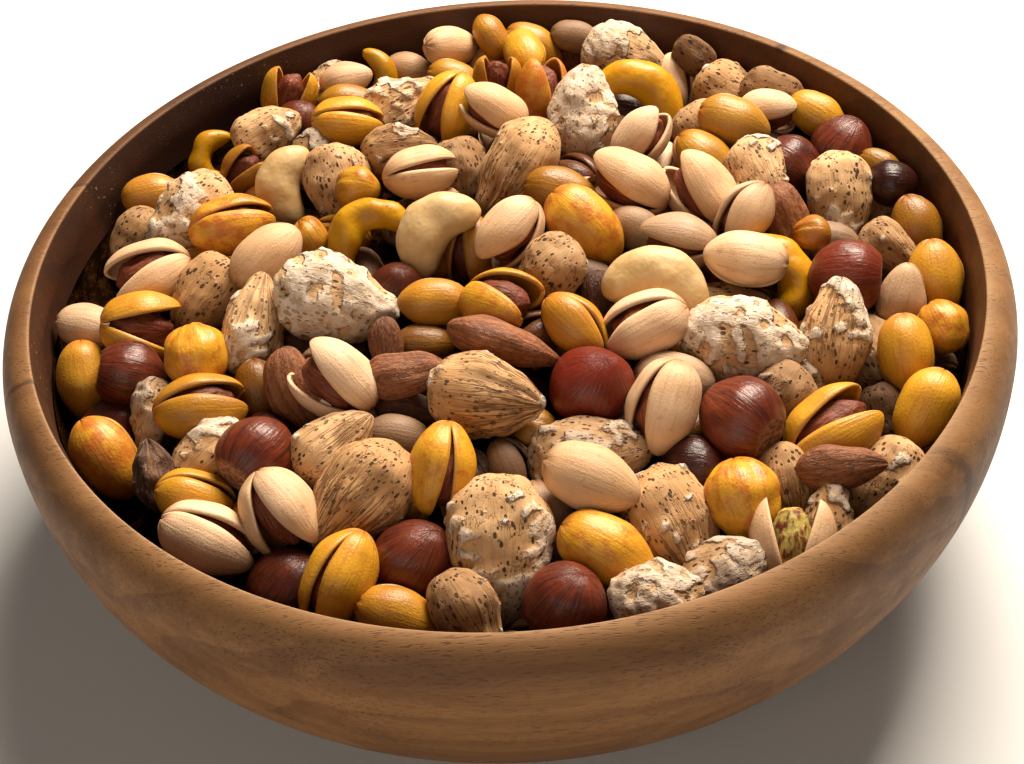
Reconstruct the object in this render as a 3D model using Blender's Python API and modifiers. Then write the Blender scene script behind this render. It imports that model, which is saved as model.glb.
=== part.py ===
"""A turned wooden bowl heaped with mixed nuts, most of them still in their shells.

Two pieces: the bowl, and the heap as one solid with the nuts that show fused on to its core.
Metres, +Z up, origin at the middle of the base that the bowl rests on.
"""
import bmesh
import bpy
import numpy as np
from math import cos, pi, radians, sin

MM = 0.001
GOLDEN_ANGLE = radians(137.508)
WELD_DISTANCE = 0.00002

# The bowl: a thick turned wall on a flat base. Its rim slopes outward from a crest near the inner
# edge, so that the wall is widest a little below the top.
RIM_RADIUS = 0.110
HEIGHT = 0.069
RIM_THICKNESS = 0.009
RIM_SLOPE = 0.007
RIM_INSIDE = 0.0065
RIM_OUTSIDE = 0.011
BASE_RADIUS = 0.0415
OUTER_FULLNESS = 2.15
FLOOR_HEIGHT = 0.012
FLOOR_RADIUS = 0.040
INNER_FULLNESS = 2.4
BOWL_STEPS = 44
WALL_POINTS = 8
RIM_POINTS = 5
BOWL_SHARP_ANGLE = 50

# The heap: a crown above the rim in the middle that falls off towards the wall
CROWN = 0.009
CROWN_FALL = 1.5
CROWN_TILT = 0.03
HEAP_GAP = 0.0005
CORE_STEPS = 32
CORE_RINGS = 6
CORE_SINK = 0.0008
CORE_BLUR = 0.011
CORE_SHOULDER = 0.003
UNDERSIDE_STRETCH = 3.0
LARGE_NUT_LENGTH = 20
LARGE_NUT_SIDES = 7
LARGE_NUT_RINGS = 5
NUT_SIDES = 6
NUT_RINGS = 5
DEEP_NUT_SIDES = 5
DEEP_NUT_RINGS = 4
DEEP_NUT_DEPTH = 3
SUNK_NUT_DEPTH = 6
FLAT_ANGLE = 0.5
HEAP_SHARP_ANGLE = 40

# Nuts a layer lower that fill the gaps between those that show
FILL_SEED = 7
FILL_TRIES = 420
FILL_RADIUS = 0.088
FILL_DEPTHS = (3, 5, 7, 9, 11, 13)
FILL_OVERLAP = 2.0 * MM
FILL_TILT = 25
FILL_COVER = 0.85
FILL_LENGTH_SPREAD = 0.1
FILL_KINDS = (
    ("pistachio", 17.0),
    ("gold_pistachio", 17.0),
    ("almond", 19.0),
    ("hazelnut", 15.0),
    ("almond_kernel", 17.0),
    ("pistachio", 15.0),
    ("gold_hazelnut", 12.0),
    ("gold_pistachio", 14.0),
)

# The view that the places of the nuts are read from: a picture 1024 by 764 taken from the front,
# at this distance from the middle of the rim, looking down and rolled a little
VIEW_BASE = 0.067
VIEW_DISTANCE = 0.420
VIEW_RISE = radians(39.97)
VIEW_PITCH = radians(43.34)
VIEW_ROLL = radians(-4.02)
VIEW_FOCUS = 1926.9
PICTURE_WIDTH = 1024
PICTURE_HEIGHT = 764
REACH_NEAR = 0.25
REACH_FAR = 0.60
REACH_STEPS = 1401

# How the nuts settle against each other
SETTLE_STEPS = 300
SETTLE_PUSH = 0.35
SETTLE_SIDEWAYS = 0.35
SETTLE_PULL_SIDE = 0.10
SETTLE_PULL_ALONG = 0.03
SETTLE_LIMIT = 4 * MM
SETTLE_PROUD = 1 * MM
ROUND_SHARE = 0.35

# Half the width and half the thickness of each kind as shares of its length
FORM = {
    "pistachio": (0.34, 0.315),
    "gold_pistachio": (0.34, 0.315),
    "almond": (0.36, 0.27),
    "almond_kernel": (0.28, 0.18),
    "cashew": (0.32, 0.22),
    "gold_cashew": (0.32, 0.22),
    "hazelnut": (0.49, 0.47),
    "gold_hazelnut": (0.47, 0.46),
    "husk": (0.30, 0.24),
}

# The egg of each straight kind: how much it narrows from stem to tip, and how far its tip is drawn
# out, as shares of its half sizes
EGG = {
    "pistachio": (0.08, 0.05),
    "gold_pistachio": (0.08, 0.05),
    "almond": (0.22, 0.10),
    "almond_kernel": (0.20, 0.06),
    "hazelnut": (0.06, 0.04),
    "gold_hazelnut": (0.05, 0.0),
    "husk": (0.05, 0.0),
}
TIP_POWER = 6
STEM_SCAR = {"hazelnut": -0.86}
GAPE_FLARE = 1.4

# The bean of each cashew, on half sizes of one: the bend of each half, the radius of its arc and
# half its thickness; then half its reach along and across, and the middle of that across
BEAN = {
    "cashew": (radians(80), 0.70, 0.44, 0.895, 0.514, 0.625),
    "gold_cashew": (radians(92), 0.76, 0.36, 0.971, 0.573, 0.546),
}
BEAN_FULL_ENDS = 0.15

# Every nut that shows, by kind. Each row holds: x and y of its middle on the picture; its length
# in millimetres; the turn of its tip on the picture, the rise of its tip towards the eye and its
# spin about its length, in degrees; how deep it lies under the heap's top in millimetres; and how
# far a shell gapes, in degrees.
X, Y, LENGTH, TURN, NOSE, SPIN, DEPTH, GAPE = range(8)
NUTS = {
    "pistachio": [
        (453, 47, 16, 5, -38, 20, 0, 0),
        (487, 48, 14, 130, 10, 0, 4, 6),
        (572, 38, 12, 10, 0, 0, 8, 0),
        (683, 72, 17, -88, 0, -50, 0, 8),
        (773, 114, 14.5, 5, 0, -55, 1, 22),
        (494, 111, 17, 208, 0, 50, 0, 12),
        (641, 138, 16, -50, 12, -50, 0, 14),
        (629, 188, 19.5, 205, 0, 55, 0, 20),
        (700, 193, 19.5, 230, 0, 55, 0, 20),
        (745, 214, 16, 125, 0, -40, 2, 16),
        (677, 243, 17, 184, 0, 70, 5, 18),
        (745, 263, 18, 188, 0, 20, 0, 2),
        (646, 324, 18.5, 158, 0, -50, 0, 14),
        (511, 232, 17, 128, 0, 45, 0, 20),
        (638, 228, 14, 30, 0, 0, 7, 4),
        (343, 84, 13, -15, 0, 0, 3, 3),
        (408, 70, 13, 10, 0, 0, 5, 0),
        (420, 172, 17, -12, 0, 78, 0, 9),
        (150, 274, 19, 160, 0, -55, 0, 24),
        (262, 260, 18, -42, 0, 10, 0, 3),
        (90, 327, 15, 10, 15, 0, 2, 3),
        (207, 537, 19.5, 22, 0, 55, 0, 10),
        (281, 518, 18, 62, 0, -58, 0, 28),
        (340, 382, 18.5, 214, 0, 58, 0, 30),
        (676, 378, 17, 5, 0, 0, 5, 3),
        (659, 408, 19.5, 112, 0, -50, 0, 16),
        (397, 437, 14, 10, 0, 0, 8, 0),
        (598, 484, 19.5, 22, 0, 5, 0, 2),
        (788, 540, 18, -88, 8, 90, 0, 32),
        (542, 526, 19, 80, 0, 0, 5, 2),
        (901, 297, 15.5, -78, 15, 0, 3, 3),
        (515, 466, 13, 60, 0, 40, 9, 20),
        (590, 277, 13, 20, 0, 0, 10, 2),
        (828, 240, 13, 5, 0, 0, 8, 2),
    ],
    "gold_pistachio": [
        (497, 33, 12.5, 240, -10, 0, 4, 2),
        (538, 45, 16, 32, 0, 0, 5, 2),
        (524, 54, 15, 60, 50, 0, 1, 0),
        (828, 110, 15, 30, 10, 0, 3, 2),
        (733, 123, 17.5, 20, 0, 0, 1, 0),
        (706, 163, 18, 45, 0, -40, 5, 6),
        (884, 167, 10.5, 30, 0, 0, 7, 10),
        (918, 229, 16, 70, 0, 0, 6, 2),
        (942, 281, 17.5, 82, 0, 0, 1, 0),
        (575, 325, 16, 43, 10, 40, 1, 6),
        (499, 80, 15, -90, 45, 90, 2, 26),
        (542, 93, 17, -85, 10, -50, 1, 22),
        (447, 108, 18, 115, 0, -62, 0, 24),
        (560, 190, 16, 10, 0, 0, 6, 2),
        (586, 228, 20.5, 45, 0, 10, 0, 0),
        (436, 303, 15, 180, 0, 0, 2, 2),
        (497, 301, 17, 5, 30, 35, 1, 34),
        (424, 344, 13, 0, 0, 0, 8, 0),
        (270, 81, 16.5, -80, 40, 88, 1, 28),
        (346, 122, 17, 0, 0, 62, 0, 8),
        (348, 102, 15, 0, 0, 0, 6, 2),
        (455, 80, 14, 20, 0, 0, 5, 2),
        (152, 194, 14, -10, 0, 0, 2, 0),
        (231, 225, 19.5, -15, 0, 55, 0, 8),
        (244, 172, 14, -60, 45, 60, 4, 20),
        (140, 329, 17, 5, 0, 88, 0, 34),
        (86, 382, 17, 85, 0, 20, 1, 4),
        (196, 414, 19, -10, 0, 55, 3, 14),
        (107, 458, 19, 55, 0, 25, 0, 4),
        (193, 497, 16, 10, 0, 45, 2, 8),
        (904, 358, 17.5, 85, 0, 0, 1, 0),
        (930, 410, 18, 117, 0, 10, 0, 2),
        (831, 431, 20.5, -38, 0, 62, 0, 22),
        (438, 470, 18.5, 97, 0, 75, 0, 10),
        (684, 442, 16, 128, 0, 0, 9, 3),
        (341, 578, 19.5, 118, 0, -58, 0, 8),
        (398, 614, 16, 18, 0, 0, 3, 2),
        (606, 551, 20, 30, 0, 10, 0, 0),
        (258, 392, 14, 80, 0, 0, 8, 0),
        (468, 250, 16, 95, 0, -60, 6, 20),
    ],
    "almond": [
        (625, 58, 20.5, 18, 0, 0, 2, 0),
        (709, 62, 14, 40, 0, 40, 8, 0),
        (727, 87, 19, 35, 0, 0, 1, 0),
        (776, 91, 17, 12, 0, 30, 5, 0),
        (705, 133, 19.5, 48, 0, 10, 3, 0),
        (757, 172, 18, 60, 30, 0, 1, 0),
        (843, 197, 21.5, 84, 0, -25, 0, 0),
        (884, 207, 17, 118, 0, 10, 4, 0),
        (889, 248, 15, 42, 0, 20, 3, 0),
        (585, 118, 22.5, -88, 0, -20, 0, 0),
        (608, 145, 17, 100, 0, 0, 9, 0),
        (463, 173, 17, 80, 0, 0, 5, 0),
        (514, 171, 27, 122, 0, 62, 0, 0),
        (549, 273, 19, 130, -20, 20, 3, 0),
        (267, 134, 17, -30, 0, 0, 1, 0),
        (326, 80, 13, -60, 0, 0, 3, 0),
        (400, 107, 19, -30, 0, 0, 1, 0),
        (398, 152, 18, -8, 0, 30, 2, 0),
        (337, 187, 20.5, 75, 0, 0, 1, 0),
        (312, 158, 14, -80, 0, 0, 5, 0),
        (191, 215, 22.5, 135, 0, 10, 0, 0),
        (139, 237, 16, 130, 0, 0, 4, 0),
        (155, 410, 15, 100, 0, 60, 5, 0),
        (207, 453, 19, 140, 0, 10, 1, 0),
        (335, 300, 25.5, 15, 0, 10, 0, 0),
        (255, 328, 22.5, -80, 0, 50, 0, 0),
        (211, 292, 19.5, 130, 0, 0, 1, 0),
        (480, 398, 23.5, 8, 20, 10, 0, 0),
        (748, 353, 24.5, 5, 0, 10, 0, 0),
        (727, 309, 18, -10, 0, 0, 7, 0),
        (832, 348, 22.5, -82, 0, 30, 0, 0),
        (872, 352, 21.5, 56, 0, -30, 4, 0),
        (883, 482, 19.5, 122, 0, 0, 1, 0),
        (829, 516, 14, -80, 0, 20, 4, 0),
        (796, 375, 14, 80, 0, 0, 5, 0),
        (776, 396, 17, 120, 0, 0, 6, 0),
        (885, 417, 16, 80, 0, 0, 10, 0),
        (935, 362, 15, 10, 0, 0, 9, 0),
        (334, 450, 18.5, -42, 0, 0, 1, 0),
        (364, 495, 24.5, 133, 0, 0, 0, 0),
        (585, 456, 23.5, -12, 0, 0, 5, 0),
        (676, 520, 25.5, 62, 0, 0, 0, 0),
        (783, 484, 19, 75, 0, 30, 3, 0),
        (725, 573, 17, -30, 0, 0, 4, 0),
        (494, 546, 27.5, 88, 0, 0, 0, 0),
        (464, 612, 18, 60, 0, 20, 4, 0),
        (655, 596, 17, -10, 0, 0, 2, 0),
    ],
    "almond_kernel": [
        (570, 57, 15, 30, 0, 0, 5, 0),
        (789, 222, 18, 68, 0, 0, 1, 0),
        (502, 343, 23.5, 17, 0, 78, 0, 0),
        (388, 348, 13, 85, 0, 0, 5, 0),
        (298, 392, 19.5, 65, 0, 20, 0, 0),
        (404, 377, 17, -10, 0, 0, 1, 0),
        (837, 474, 17, -5, 0, 20, 1, 0),
        (408, 411, 15, 10, 0, 0, 8, 0),
        (601, 305, 15, 85, 0, 0, 9, 0),
    ],
    "cashew": [
        (283, 186, 19.5, -85, 0, 0, 0, 0),
        (430, 235, 21.5, -50, 0, 0, 0, 0),
        (661, 281, 23.5, 18, 0, 0, 0, 0),
    ],
    "gold_cashew": [
        (650, 100, 24.5, 42, 0, 0, 0, 0),
        (790, 277, 22.5, 68, 0, 0, 0, 0),
        (380, 78, 15, 95, 0, 0, 3, 0),
        (208, 157, 14.5, -80, 0, 0, 3, 0),
        (363, 228, 20, -35, 0, 0, 1, 0),
    ],
    "hazelnut": [
        (841, 144, 15.5, -60, 20, 0, 1, 0),
        (790, 167, 15, 40, 0, 0, 3, 0),
        (888, 184, 11.5, 0, 0, 0, 10, 0),
        (843, 281, 16.5, 182, 0, 0, 0, 0),
        (297, 123, 13, -70, 30, 0, 4, 0),
        (397, 287, 14, -70, 40, 0, 6, 0),
        (130, 384, 15, 10, 0, 0, 3, 0),
        (117, 424, 16, -70, 40, 0, 6, 0),
        (256, 456, 16.5, -45, -25, 0, 0, 0),
        (287, 580, 16, -60, 30, 0, 4, 0),
        (592, 388, 18, -60, 50, 0, 0, 0),
        (742, 428, 17.5, 215, -25, 0, 0, 0),
        (419, 556, 16.5, -50, 35, 0, 2, 0),
        (567, 602, 16.5, -60, 40, 0, 1, 0),
        (698, 464, 14, 0, 20, 0, 8, 0),
        (628, 112, 14, 0, 20, 0, 8, 0),
    ],
    "gold_hazelnut": [
        (946, 328, 12, 60, 20, 0, 1, 0),
        (812, 233, 8.5, 0, 0, 0, 4, 0),
        (357, 188, 10.5, 0, 30, 0, 3, 0),
        (309, 240, 9.5, 60, 0, 0, 4, 0),
        (197, 357, 14.5, 80, 10, 0, 0, 0),
        (538, 432, 10, 10, 0, 0, 7, 0),
        (736, 505, 16, 78, 10, 0, 0, 0),
    ],
    "husk": [
        (158, 474, 13, 80, 0, 0, 2, 0),
        (471, 467, 9.5, 80, 0, 0, 8, 0),
    ],
}


def clear_scene():
    for old in list(bpy.data.objects):
        bpy.data.objects.remove(old, do_unlink=True)


def new_collection(name):
    group = bpy.data.collections.new(name)
    bpy.context.scene.collection.children.link(group)
    return group


def finish(name, colour, roughness):
    """One Principled material."""
    made = bpy.data.materials.new(name)
    made.use_nodes = True
    shader = made.node_tree.nodes["Principled BSDF"]
    shader.inputs["Base Color"].default_value = (*colour, 1.0)
    shader.inputs["Roughness"].default_value = roughness
    shader.inputs["Metallic"].default_value = 0.0
    return made


def wood():
    return finish("oiled_wood", (0.20, 0.105, 0.05), 0.5)


def nutshell():
    return finish("nutshell", (0.56, 0.37, 0.19), 0.55)


def wall_curve(share, foot, top, fullness):
    """Radius of a wall that leaves its foot flat and stands upright at its top."""
    return foot + (top - foot) * (1.0 - (1.0 - share) ** fullness) ** (1.0 / fullness)


def inner_radius(height):
    """Radius of the bowl's inner wall at a height."""
    share = np.clip((height - FLOOR_HEIGHT) / (HEIGHT - RIM_INSIDE - FLOOR_HEIGHT), 0.0, 1.0)
    return wall_curve(share, FLOOR_RADIUS, RIM_RADIUS - RIM_THICKNESS, INNER_FULLNESS)


def inner_wall(points):
    """Points up the inner wall, closer together near the foot, where it curves most."""
    shares = [(1.0 - cos(0.5 * pi * i / points)) for i in range(points + 1)]
    span = HEIGHT - RIM_INSIDE - FLOOR_HEIGHT
    heights = [FLOOR_HEIGHT + span * share for share in shares]
    return [(float(inner_radius(height)), height) for height in heights]


def outer_wall(points):
    """Points up the outer wall from the edge of the base to where it is widest."""
    shares = [(1.0 - cos(0.5 * pi * i / points)) for i in range(points + 1)]
    span = HEIGHT - RIM_OUTSIDE
    return [(wall_curve(share, BASE_RADIUS, RIM_RADIUS, OUTER_FULLNESS), span * share) for share in shares]


def turned(name, profile, steps, group):
    """A profile of (radius, height) turned about Z, as a mesh with its modifier applied."""
    mesh = bpy.data.meshes.new(name + "_profile")
    points = [(radius, 0.0, height) for radius, height in profile]
    mesh.from_pydata(points, [(i, i + 1) for i in range(len(points) - 1)], [])
    raw = bpy.data.objects.new(name + "_profile", mesh)
    group.objects.link(raw)
    screw = raw.modifiers.new("Turn", "SCREW")
    screw.steps = steps
    screw.render_steps = steps
    screw.use_merge_vertices = True
    screw.merge_threshold = WELD_DISTANCE
    screw.use_smooth_shade = True
    bpy.context.view_layer.update()
    solid = bpy.data.meshes.new_from_object(raw.evaluated_get(bpy.context.evaluated_depsgraph_get()))
    bpy.data.objects.remove(raw, do_unlink=True)
    solid.name = name
    made = bpy.data.objects.new(name, solid)
    group.objects.link(made)
    return made


def shade(made, angle):
    made.data.shade_smooth()
    made.data.set_sharp_from_angle(angle=radians(angle))


def build_bowl(group):
    """The wall's section from the middle of the floor, up and over the rim, down to the base."""
    crest = RIM_RADIUS - RIM_SLOPE
    turns = [0.5 * pi * (1.0 - i / RIM_POINTS) for i in range(RIM_POINTS)]
    rim = [
        (crest + RIM_SLOPE * cos(turn), HEIGHT - RIM_OUTSIDE * (1.0 - sin(turn)))
        for turn in turns
    ]
    down = outer_wall(WALL_POINTS)[::-1]
    profile = [(0.0, FLOOR_HEIGHT)] + inner_wall(WALL_POINTS) + rim + down + [(0.0, 0.0)]
    bowl = turned("bowl", profile, BOWL_STEPS, group)
    bowl.data.materials.append(wood())
    shade(bowl, BOWL_SHARP_ANGLE)
    return bowl


def view_frame():
    """The eye, and the directions ahead, to the right and up on the picture."""
    eye = np.array([0.0, -VIEW_DISTANCE * cos(VIEW_RISE), VIEW_BASE + VIEW_DISTANCE * sin(VIEW_RISE)])
    ahead = np.array([0.0, cos(VIEW_PITCH), -sin(VIEW_PITCH)])
    level = np.array([1.0, 0.0, 0.0])
    above = np.cross(level, ahead)
    right = cos(VIEW_ROLL) * level + sin(VIEW_ROLL) * above
    up = cos(VIEW_ROLL) * above - sin(VIEW_ROLL) * level
    return eye, ahead, right, up


def heap_top(place):
    """Height of the heap's top: a crown that falls with the square of the radius."""
    square = place[..., 0] ** 2 + place[..., 1] ** 2
    return HEIGHT + CROWN - CROWN_FALL * square + CROWN_TILT * place[..., 1]


def nut_axes(rows, sight, right, up):
    """Each nut's own axes as columns: its length, its width and its thickness."""
    turn, nose, spin = (np.radians(rows[:, column])[:, None] for column in (TURN, NOSE, SPIN))
    toward = -sight
    along = np.cos(turn) * right - np.sin(turn) * up
    along -= (along * toward).sum(1)[:, None] * toward
    along /= np.linalg.norm(along, axis=1)[:, None]
    side = np.cross(toward, along)
    length = np.cos(nose) * along + np.sin(nose) * toward
    face = np.cos(nose) * toward - np.sin(nose) * along
    width = np.cos(spin) * side + np.sin(spin) * face
    thickness = np.cos(spin) * face - np.sin(spin) * side
    return np.stack([length, width, thickness], 2)


def outward(place):
    """Level unit vectors from the bowl's axis, and the radius of each place."""
    radius = np.hypot(place[..., 0], place[..., 1])
    level = np.zeros(place.shape)
    level[..., 0] = place[..., 0] / radius
    level[..., 1] = place[..., 1] / radius
    return level, radius


def first_places(rows, sight, eye, spread):
    """Where each sight line first dips a nut's height under the heap's top, inside the wall."""
    reach = np.linspace(REACH_NEAR, REACH_FAR, REACH_STEPS)
    path = eye + sight[:, None] * reach[:, None]
    level, radius = outward(path)
    across = np.sqrt(np.einsum("nti,nij,ntj->nt", level, spread, level))
    rise = np.sqrt(spread[:, 2, 2])[:, None]
    depth = rows[:, DEPTH, None] * MM
    inside = radius + across <= inner_radius(path[..., 2]) - HEAP_GAP
    low = path[..., 2] <= heap_top(path) - rise - depth
    both = inside & low
    last = REACH_STEPS - 1 - inside[:, ::-1].argmax(1)
    fallback = np.where(inside.any(1), last, low.argmax(1))
    step = np.where(both.any(1), both.argmax(1), fallback)
    return path[np.arange(len(rows)), step]


def settle(home, sight, spread, inverse):
    """Pushes nuts apart, mostly along their sight lines, and keeps them inside the wall."""
    place = home.copy()
    count = len(home)
    rise = np.sqrt(spread[:, 2, 2])
    itself = np.arange(count)
    for _ in range(SETTLE_STEPS):
        apart = place[None] - place[:, None]
        distance = np.linalg.norm(apart, axis=2) + np.eye(count)
        line = apart / distance[:, :, None]
        line[itself, itself] = (0.0, 0.0, 1.0)
        reach = np.sqrt(np.einsum("ijk,ikl,ijl->ij", line, spread, line))
        radius = 1.0 / np.sqrt(np.einsum("ijk,ikl,ijl->ij", line, inverse, line))
        size = ROUND_SHARE * reach + (1.0 - ROUND_SHARE) * radius
        overlap = np.clip(size + size.T - distance, 0.0, SETTLE_LIMIT)
        overlap[itself, itself] = 0.0
        push = -SETTLE_PUSH * (line * overlap[:, :, None]).sum(1)
        push_along = (push * sight).sum(1)[:, None] * sight
        moved = place - home
        moved_along = (moved * sight).sum(1)[:, None] * sight
        place = place + push_along - SETTLE_PULL_ALONG * moved_along
        place = place + SETTLE_SIDEWAYS * (push - push_along) - SETTLE_PULL_SIDE * (moved - moved_along)
        proud = np.clip(place[:, 2] + rise - heap_top(place) - SETTLE_PROUD, 0.0, None)
        place = place - SETTLE_PUSH * (proud / sight[:, 2])[:, None] * sight
        level, radius = outward(place)
        across = np.sqrt(np.einsum("ni,nij,nj->n", level, spread, level))
        over = radius + across - (inner_radius(place[:, 2]) - HEAP_GAP)
        place = place - np.clip(over, 0.0, None)[:, None] * level
    return place


def lying_axes(draw):
    """Axes of a nut that lies nearly level, turned and spun at random."""
    turn = draw.uniform(0.0, 2.0 * pi)
    tilt = radians(draw.uniform(-FILL_TILT, FILL_TILT))
    spin = draw.uniform(0.0, 2.0 * pi)
    length = np.array([cos(turn) * cos(tilt), sin(turn) * cos(tilt), sin(tilt)])
    level = np.array([-sin(turn), cos(turn), 0.0])
    width = cos(spin) * level + sin(spin) * np.cross(length, level)
    return np.stack([length, width, np.cross(length, width)], 1)


def most_overlap(middle, axes, half, middles, all_axes, halves):
    """The deepest overlap of one nut with the others, all taken as ellipsoids."""
    apart = middles - middle
    distance = np.linalg.norm(apart, axis=1)
    line = apart / distance[:, None]
    own = 1.0 / np.linalg.norm((line @ axes) / half, axis=1)
    theirs = 1.0 / np.linalg.norm(np.einsum("ni,nij->nj", line, all_axes) / halves, axis=1)
    return float((own + theirs - distance).max())


def in_the_way(middle, size, shown_middles, shown_half, eye):
    """Whether a nut stands between the eye and one of the nuts that show, both taken as balls."""
    sight = (middle - eye) / np.linalg.norm(middle - eye)
    apart = shown_middles - middle
    behind = apart @ sight
    across = np.linalg.norm(apart - behind[:, None] * sight, axis=1)
    touch = FILL_COVER * (size.mean() + shown_half.mean(1))
    return bool(((behind > 0.0) & (across < touch)).any())


def fill_gaps(kinds, rows, middles, axes, half, eye):
    """Nuts along a spiral, each as high as it fits between those that are there already."""
    draw = np.random.default_rng(FILL_SEED)
    shown_middles, shown_half = middles, half
    for number in range(FILL_TRIES):
        kind, length = FILL_KINDS[number % len(FILL_KINDS)]
        length *= draw.uniform(1.0 - FILL_LENGTH_SPREAD, 1.0 + FILL_LENGTH_SPREAD)
        turned_axes = lying_axes(draw)
        size = np.array([0.5, *FORM[kind]]) * length * MM
        radius = FILL_RADIUS * ((number + 0.5) / FILL_TRIES) ** 0.5
        angle = number * GOLDEN_ANGLE
        rise = np.linalg.norm(turned_axes[2] * size)
        for depth in FILL_DEPTHS:
            middle = np.array([radius * cos(angle), radius * sin(angle), 0.0])
            middle[2] = float(heap_top(middle)) - rise - depth * MM
            if most_overlap(middle, turned_axes, size, middles, axes, half) > FILL_OVERLAP:
                continue
            if in_the_way(middle, size, shown_middles, shown_half, eye):
                continue
            kinds = kinds + [kind]
            row = np.zeros(rows.shape[1])
            row[LENGTH] = length
            row[DEPTH] = depth
            rows = np.vstack([rows, row])
            middles = np.vstack([middles, middle])
            axes = np.concatenate([axes, turned_axes[None]])
            half = np.vstack([half, size])
            break
    return kinds, rows, middles, axes, half


def place_nuts():
    """Kinds, rows, middles and axes of all nuts."""
    kinds = [kind for kind, rows in NUTS.items() for _ in rows]
    rows = np.array([row for rows in NUTS.values() for row in rows], float)
    eye, ahead, right, up = view_frame()
    sight = ahead * VIEW_FOCUS
    sight = sight + np.outer(rows[:, X] - PICTURE_WIDTH / 2, right)
    sight = sight - np.outer(rows[:, Y] - PICTURE_HEIGHT / 2, up)
    sight /= np.linalg.norm(sight, axis=1)[:, None]
    axes = nut_axes(rows, sight, right, up)
    shares = np.array([(0.5, *FORM[kind]) for kind in kinds])
    half = shares * rows[:, LENGTH, None] * MM
    spread = np.einsum("nij,nj,nkj->nik", axes, half ** 2, axes)
    inverse = np.einsum("nij,nj,nkj->nik", axes, half ** -2.0, axes)
    home = first_places(rows, sight, eye, spread)
    middles = settle(home, sight, spread, inverse)
    return fill_gaps(kinds, rows, middles, axes, half, eye)


def egg_point(kind, share, side, face, gape):
    """Unit egg: blunt at its stem end, drawn out at its tip, where a split shell flares open."""
    taper, point = EGG[kind]
    share = max(share, STEM_SCAR.get(kind, -1.0))
    swell = 1.0 - taper * share
    flare = 1.0 + GAPE_FLARE * sin(radians(gape) / 2) * (share + 1.0)
    return share + point * max(share, 0.0) ** TIP_POWER, side * swell, face * swell * flare


def bean_point(kind, share, side, face):
    """Unit bean: a ball with full ends, bent round an arc."""
    bend, hub, thick, reach, width, middle = BEAN[kind]
    full = max(1.0 - share ** 2, 0.001) ** -BEAN_FULL_ENDS
    radius = hub + thick * side * full
    return radius * sin(share * bend) / reach, (radius * cos(share * bend) - middle) / width, face * full


def nut_object(name, kind, row, middle, axes, half, group):
    """One nut with few sides, in its place; its underside is drawn down to reach into the core."""
    sides, rings = NUT_SIDES, NUT_RINGS
    if row[DEPTH] >= DEEP_NUT_DEPTH:
        sides, rings = DEEP_NUT_SIDES, DEEP_NUT_RINGS
    elif row[LENGTH] >= LARGE_NUT_LENGTH:
        sides, rings = LARGE_NUT_SIDES, LARGE_NUT_RINGS
    ball = bmesh.new()
    bmesh.ops.create_uvsphere(ball, u_segments=sides, v_segments=rings, radius=1.0)
    for vert in ball.verts:
        share, side, face = vert.co.z, vert.co.x, vert.co.y
        if kind in EGG:
            unit = egg_point(kind, share, side, face, row[GAPE])
        else:
            unit = bean_point(kind, share, side, face)
        offset = axes @ (np.array(unit) * half)
        if offset[2] < 0.0:
            offset[2] *= UNDERSIDE_STRETCH
        vert.co = middle + offset
    bmesh.ops.recalc_face_normals(ball, faces=ball.faces)
    mesh = bpy.data.meshes.new(name)
    ball.to_mesh(mesh)
    ball.free()
    made = bpy.data.objects.new(name, mesh)
    group.objects.link(made)
    keep_inside(made)
    return made


def keep_inside(made):
    """Slides a nut inwards until all its corners clear the bowl's wall."""
    mesh = made.data
    corners = np.array([vert.co for vert in mesh.vertices])
    level, radius = outward(corners)
    over = radius - (inner_radius(corners[:, 2]) - HEAP_GAP)
    worst = int(over.argmax())
    if over[worst] > 0.0:
        for vert, corner in zip(mesh.vertices, corners - level[worst] * over[worst]):
            vert.co = corner


def core_top(x, y, middles):
    """Height just under the middles of the nuts around a place, so that each nut is held."""
    square = (middles[:, 0] - x) ** 2 + (middles[:, 1] - y) ** 2
    weight = np.exp(-square / (2 * CORE_BLUR ** 2))
    return float((weight * middles[:, 2]).sum() / weight.sum()) - CORE_SINK


def build_core(middles, group):
    """The filling under the nuts: it follows the inner wall and rises to the nuts' middles."""
    shoulder = float(core_top(inner_radius(HEIGHT), 0.0, middles))
    wall = [point for point in inner_wall(WALL_POINTS) if point[1] < shoulder - CORE_SHOULDER]
    edge = wall[-1][0]
    floor = FLOOR_HEIGHT + HEAP_GAP
    top = [(edge * i / CORE_RINGS, HEIGHT) for i in range(CORE_RINGS)]
    side = [(radius - HEAP_GAP, max(height, floor)) for radius, height in wall[::-1]]
    core = turned("nut_heap", top + side + [(0.0, floor)], CORE_STEPS, group)
    for vert in core.data.vertices:
        if vert.co.z > HEIGHT - MM:
            vert.co.z = core_top(vert.co.x, vert.co.y, middles)
    return core


def union_with(core, pieces):
    """One Boolean union of the core with a collection; the pieces are removed afterwards."""
    fuse = core.modifiers.new("Fuse", "BOOLEAN")
    fuse.operation = "UNION"
    fuse.operand_type = "COLLECTION"
    fuse.collection = pieces
    fuse.solver = "EXACT"
    bpy.context.view_layer.update()
    fused = bpy.data.meshes.new_from_object(core.evaluated_get(bpy.context.evaluated_depsgraph_get()))
    core.modifiers.clear()
    core.data = fused
    for piece in list(pieces.objects):
        bpy.data.objects.remove(piece, do_unlink=True)
    bpy.data.collections.remove(pieces)


def shells_of(solid):
    """The connected groups of faces of a bmesh."""
    left = set(solid.faces)
    while left:
        wave = [left.pop()]
        shell = list(wave)
        while wave:
            near = {other for face in wave for edge in face.edges for other in edge.link_faces}
            wave = [face for face in near if face in left]
            left.difference_update(wave)
            shell.extend(wave)
        yield shell


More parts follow.
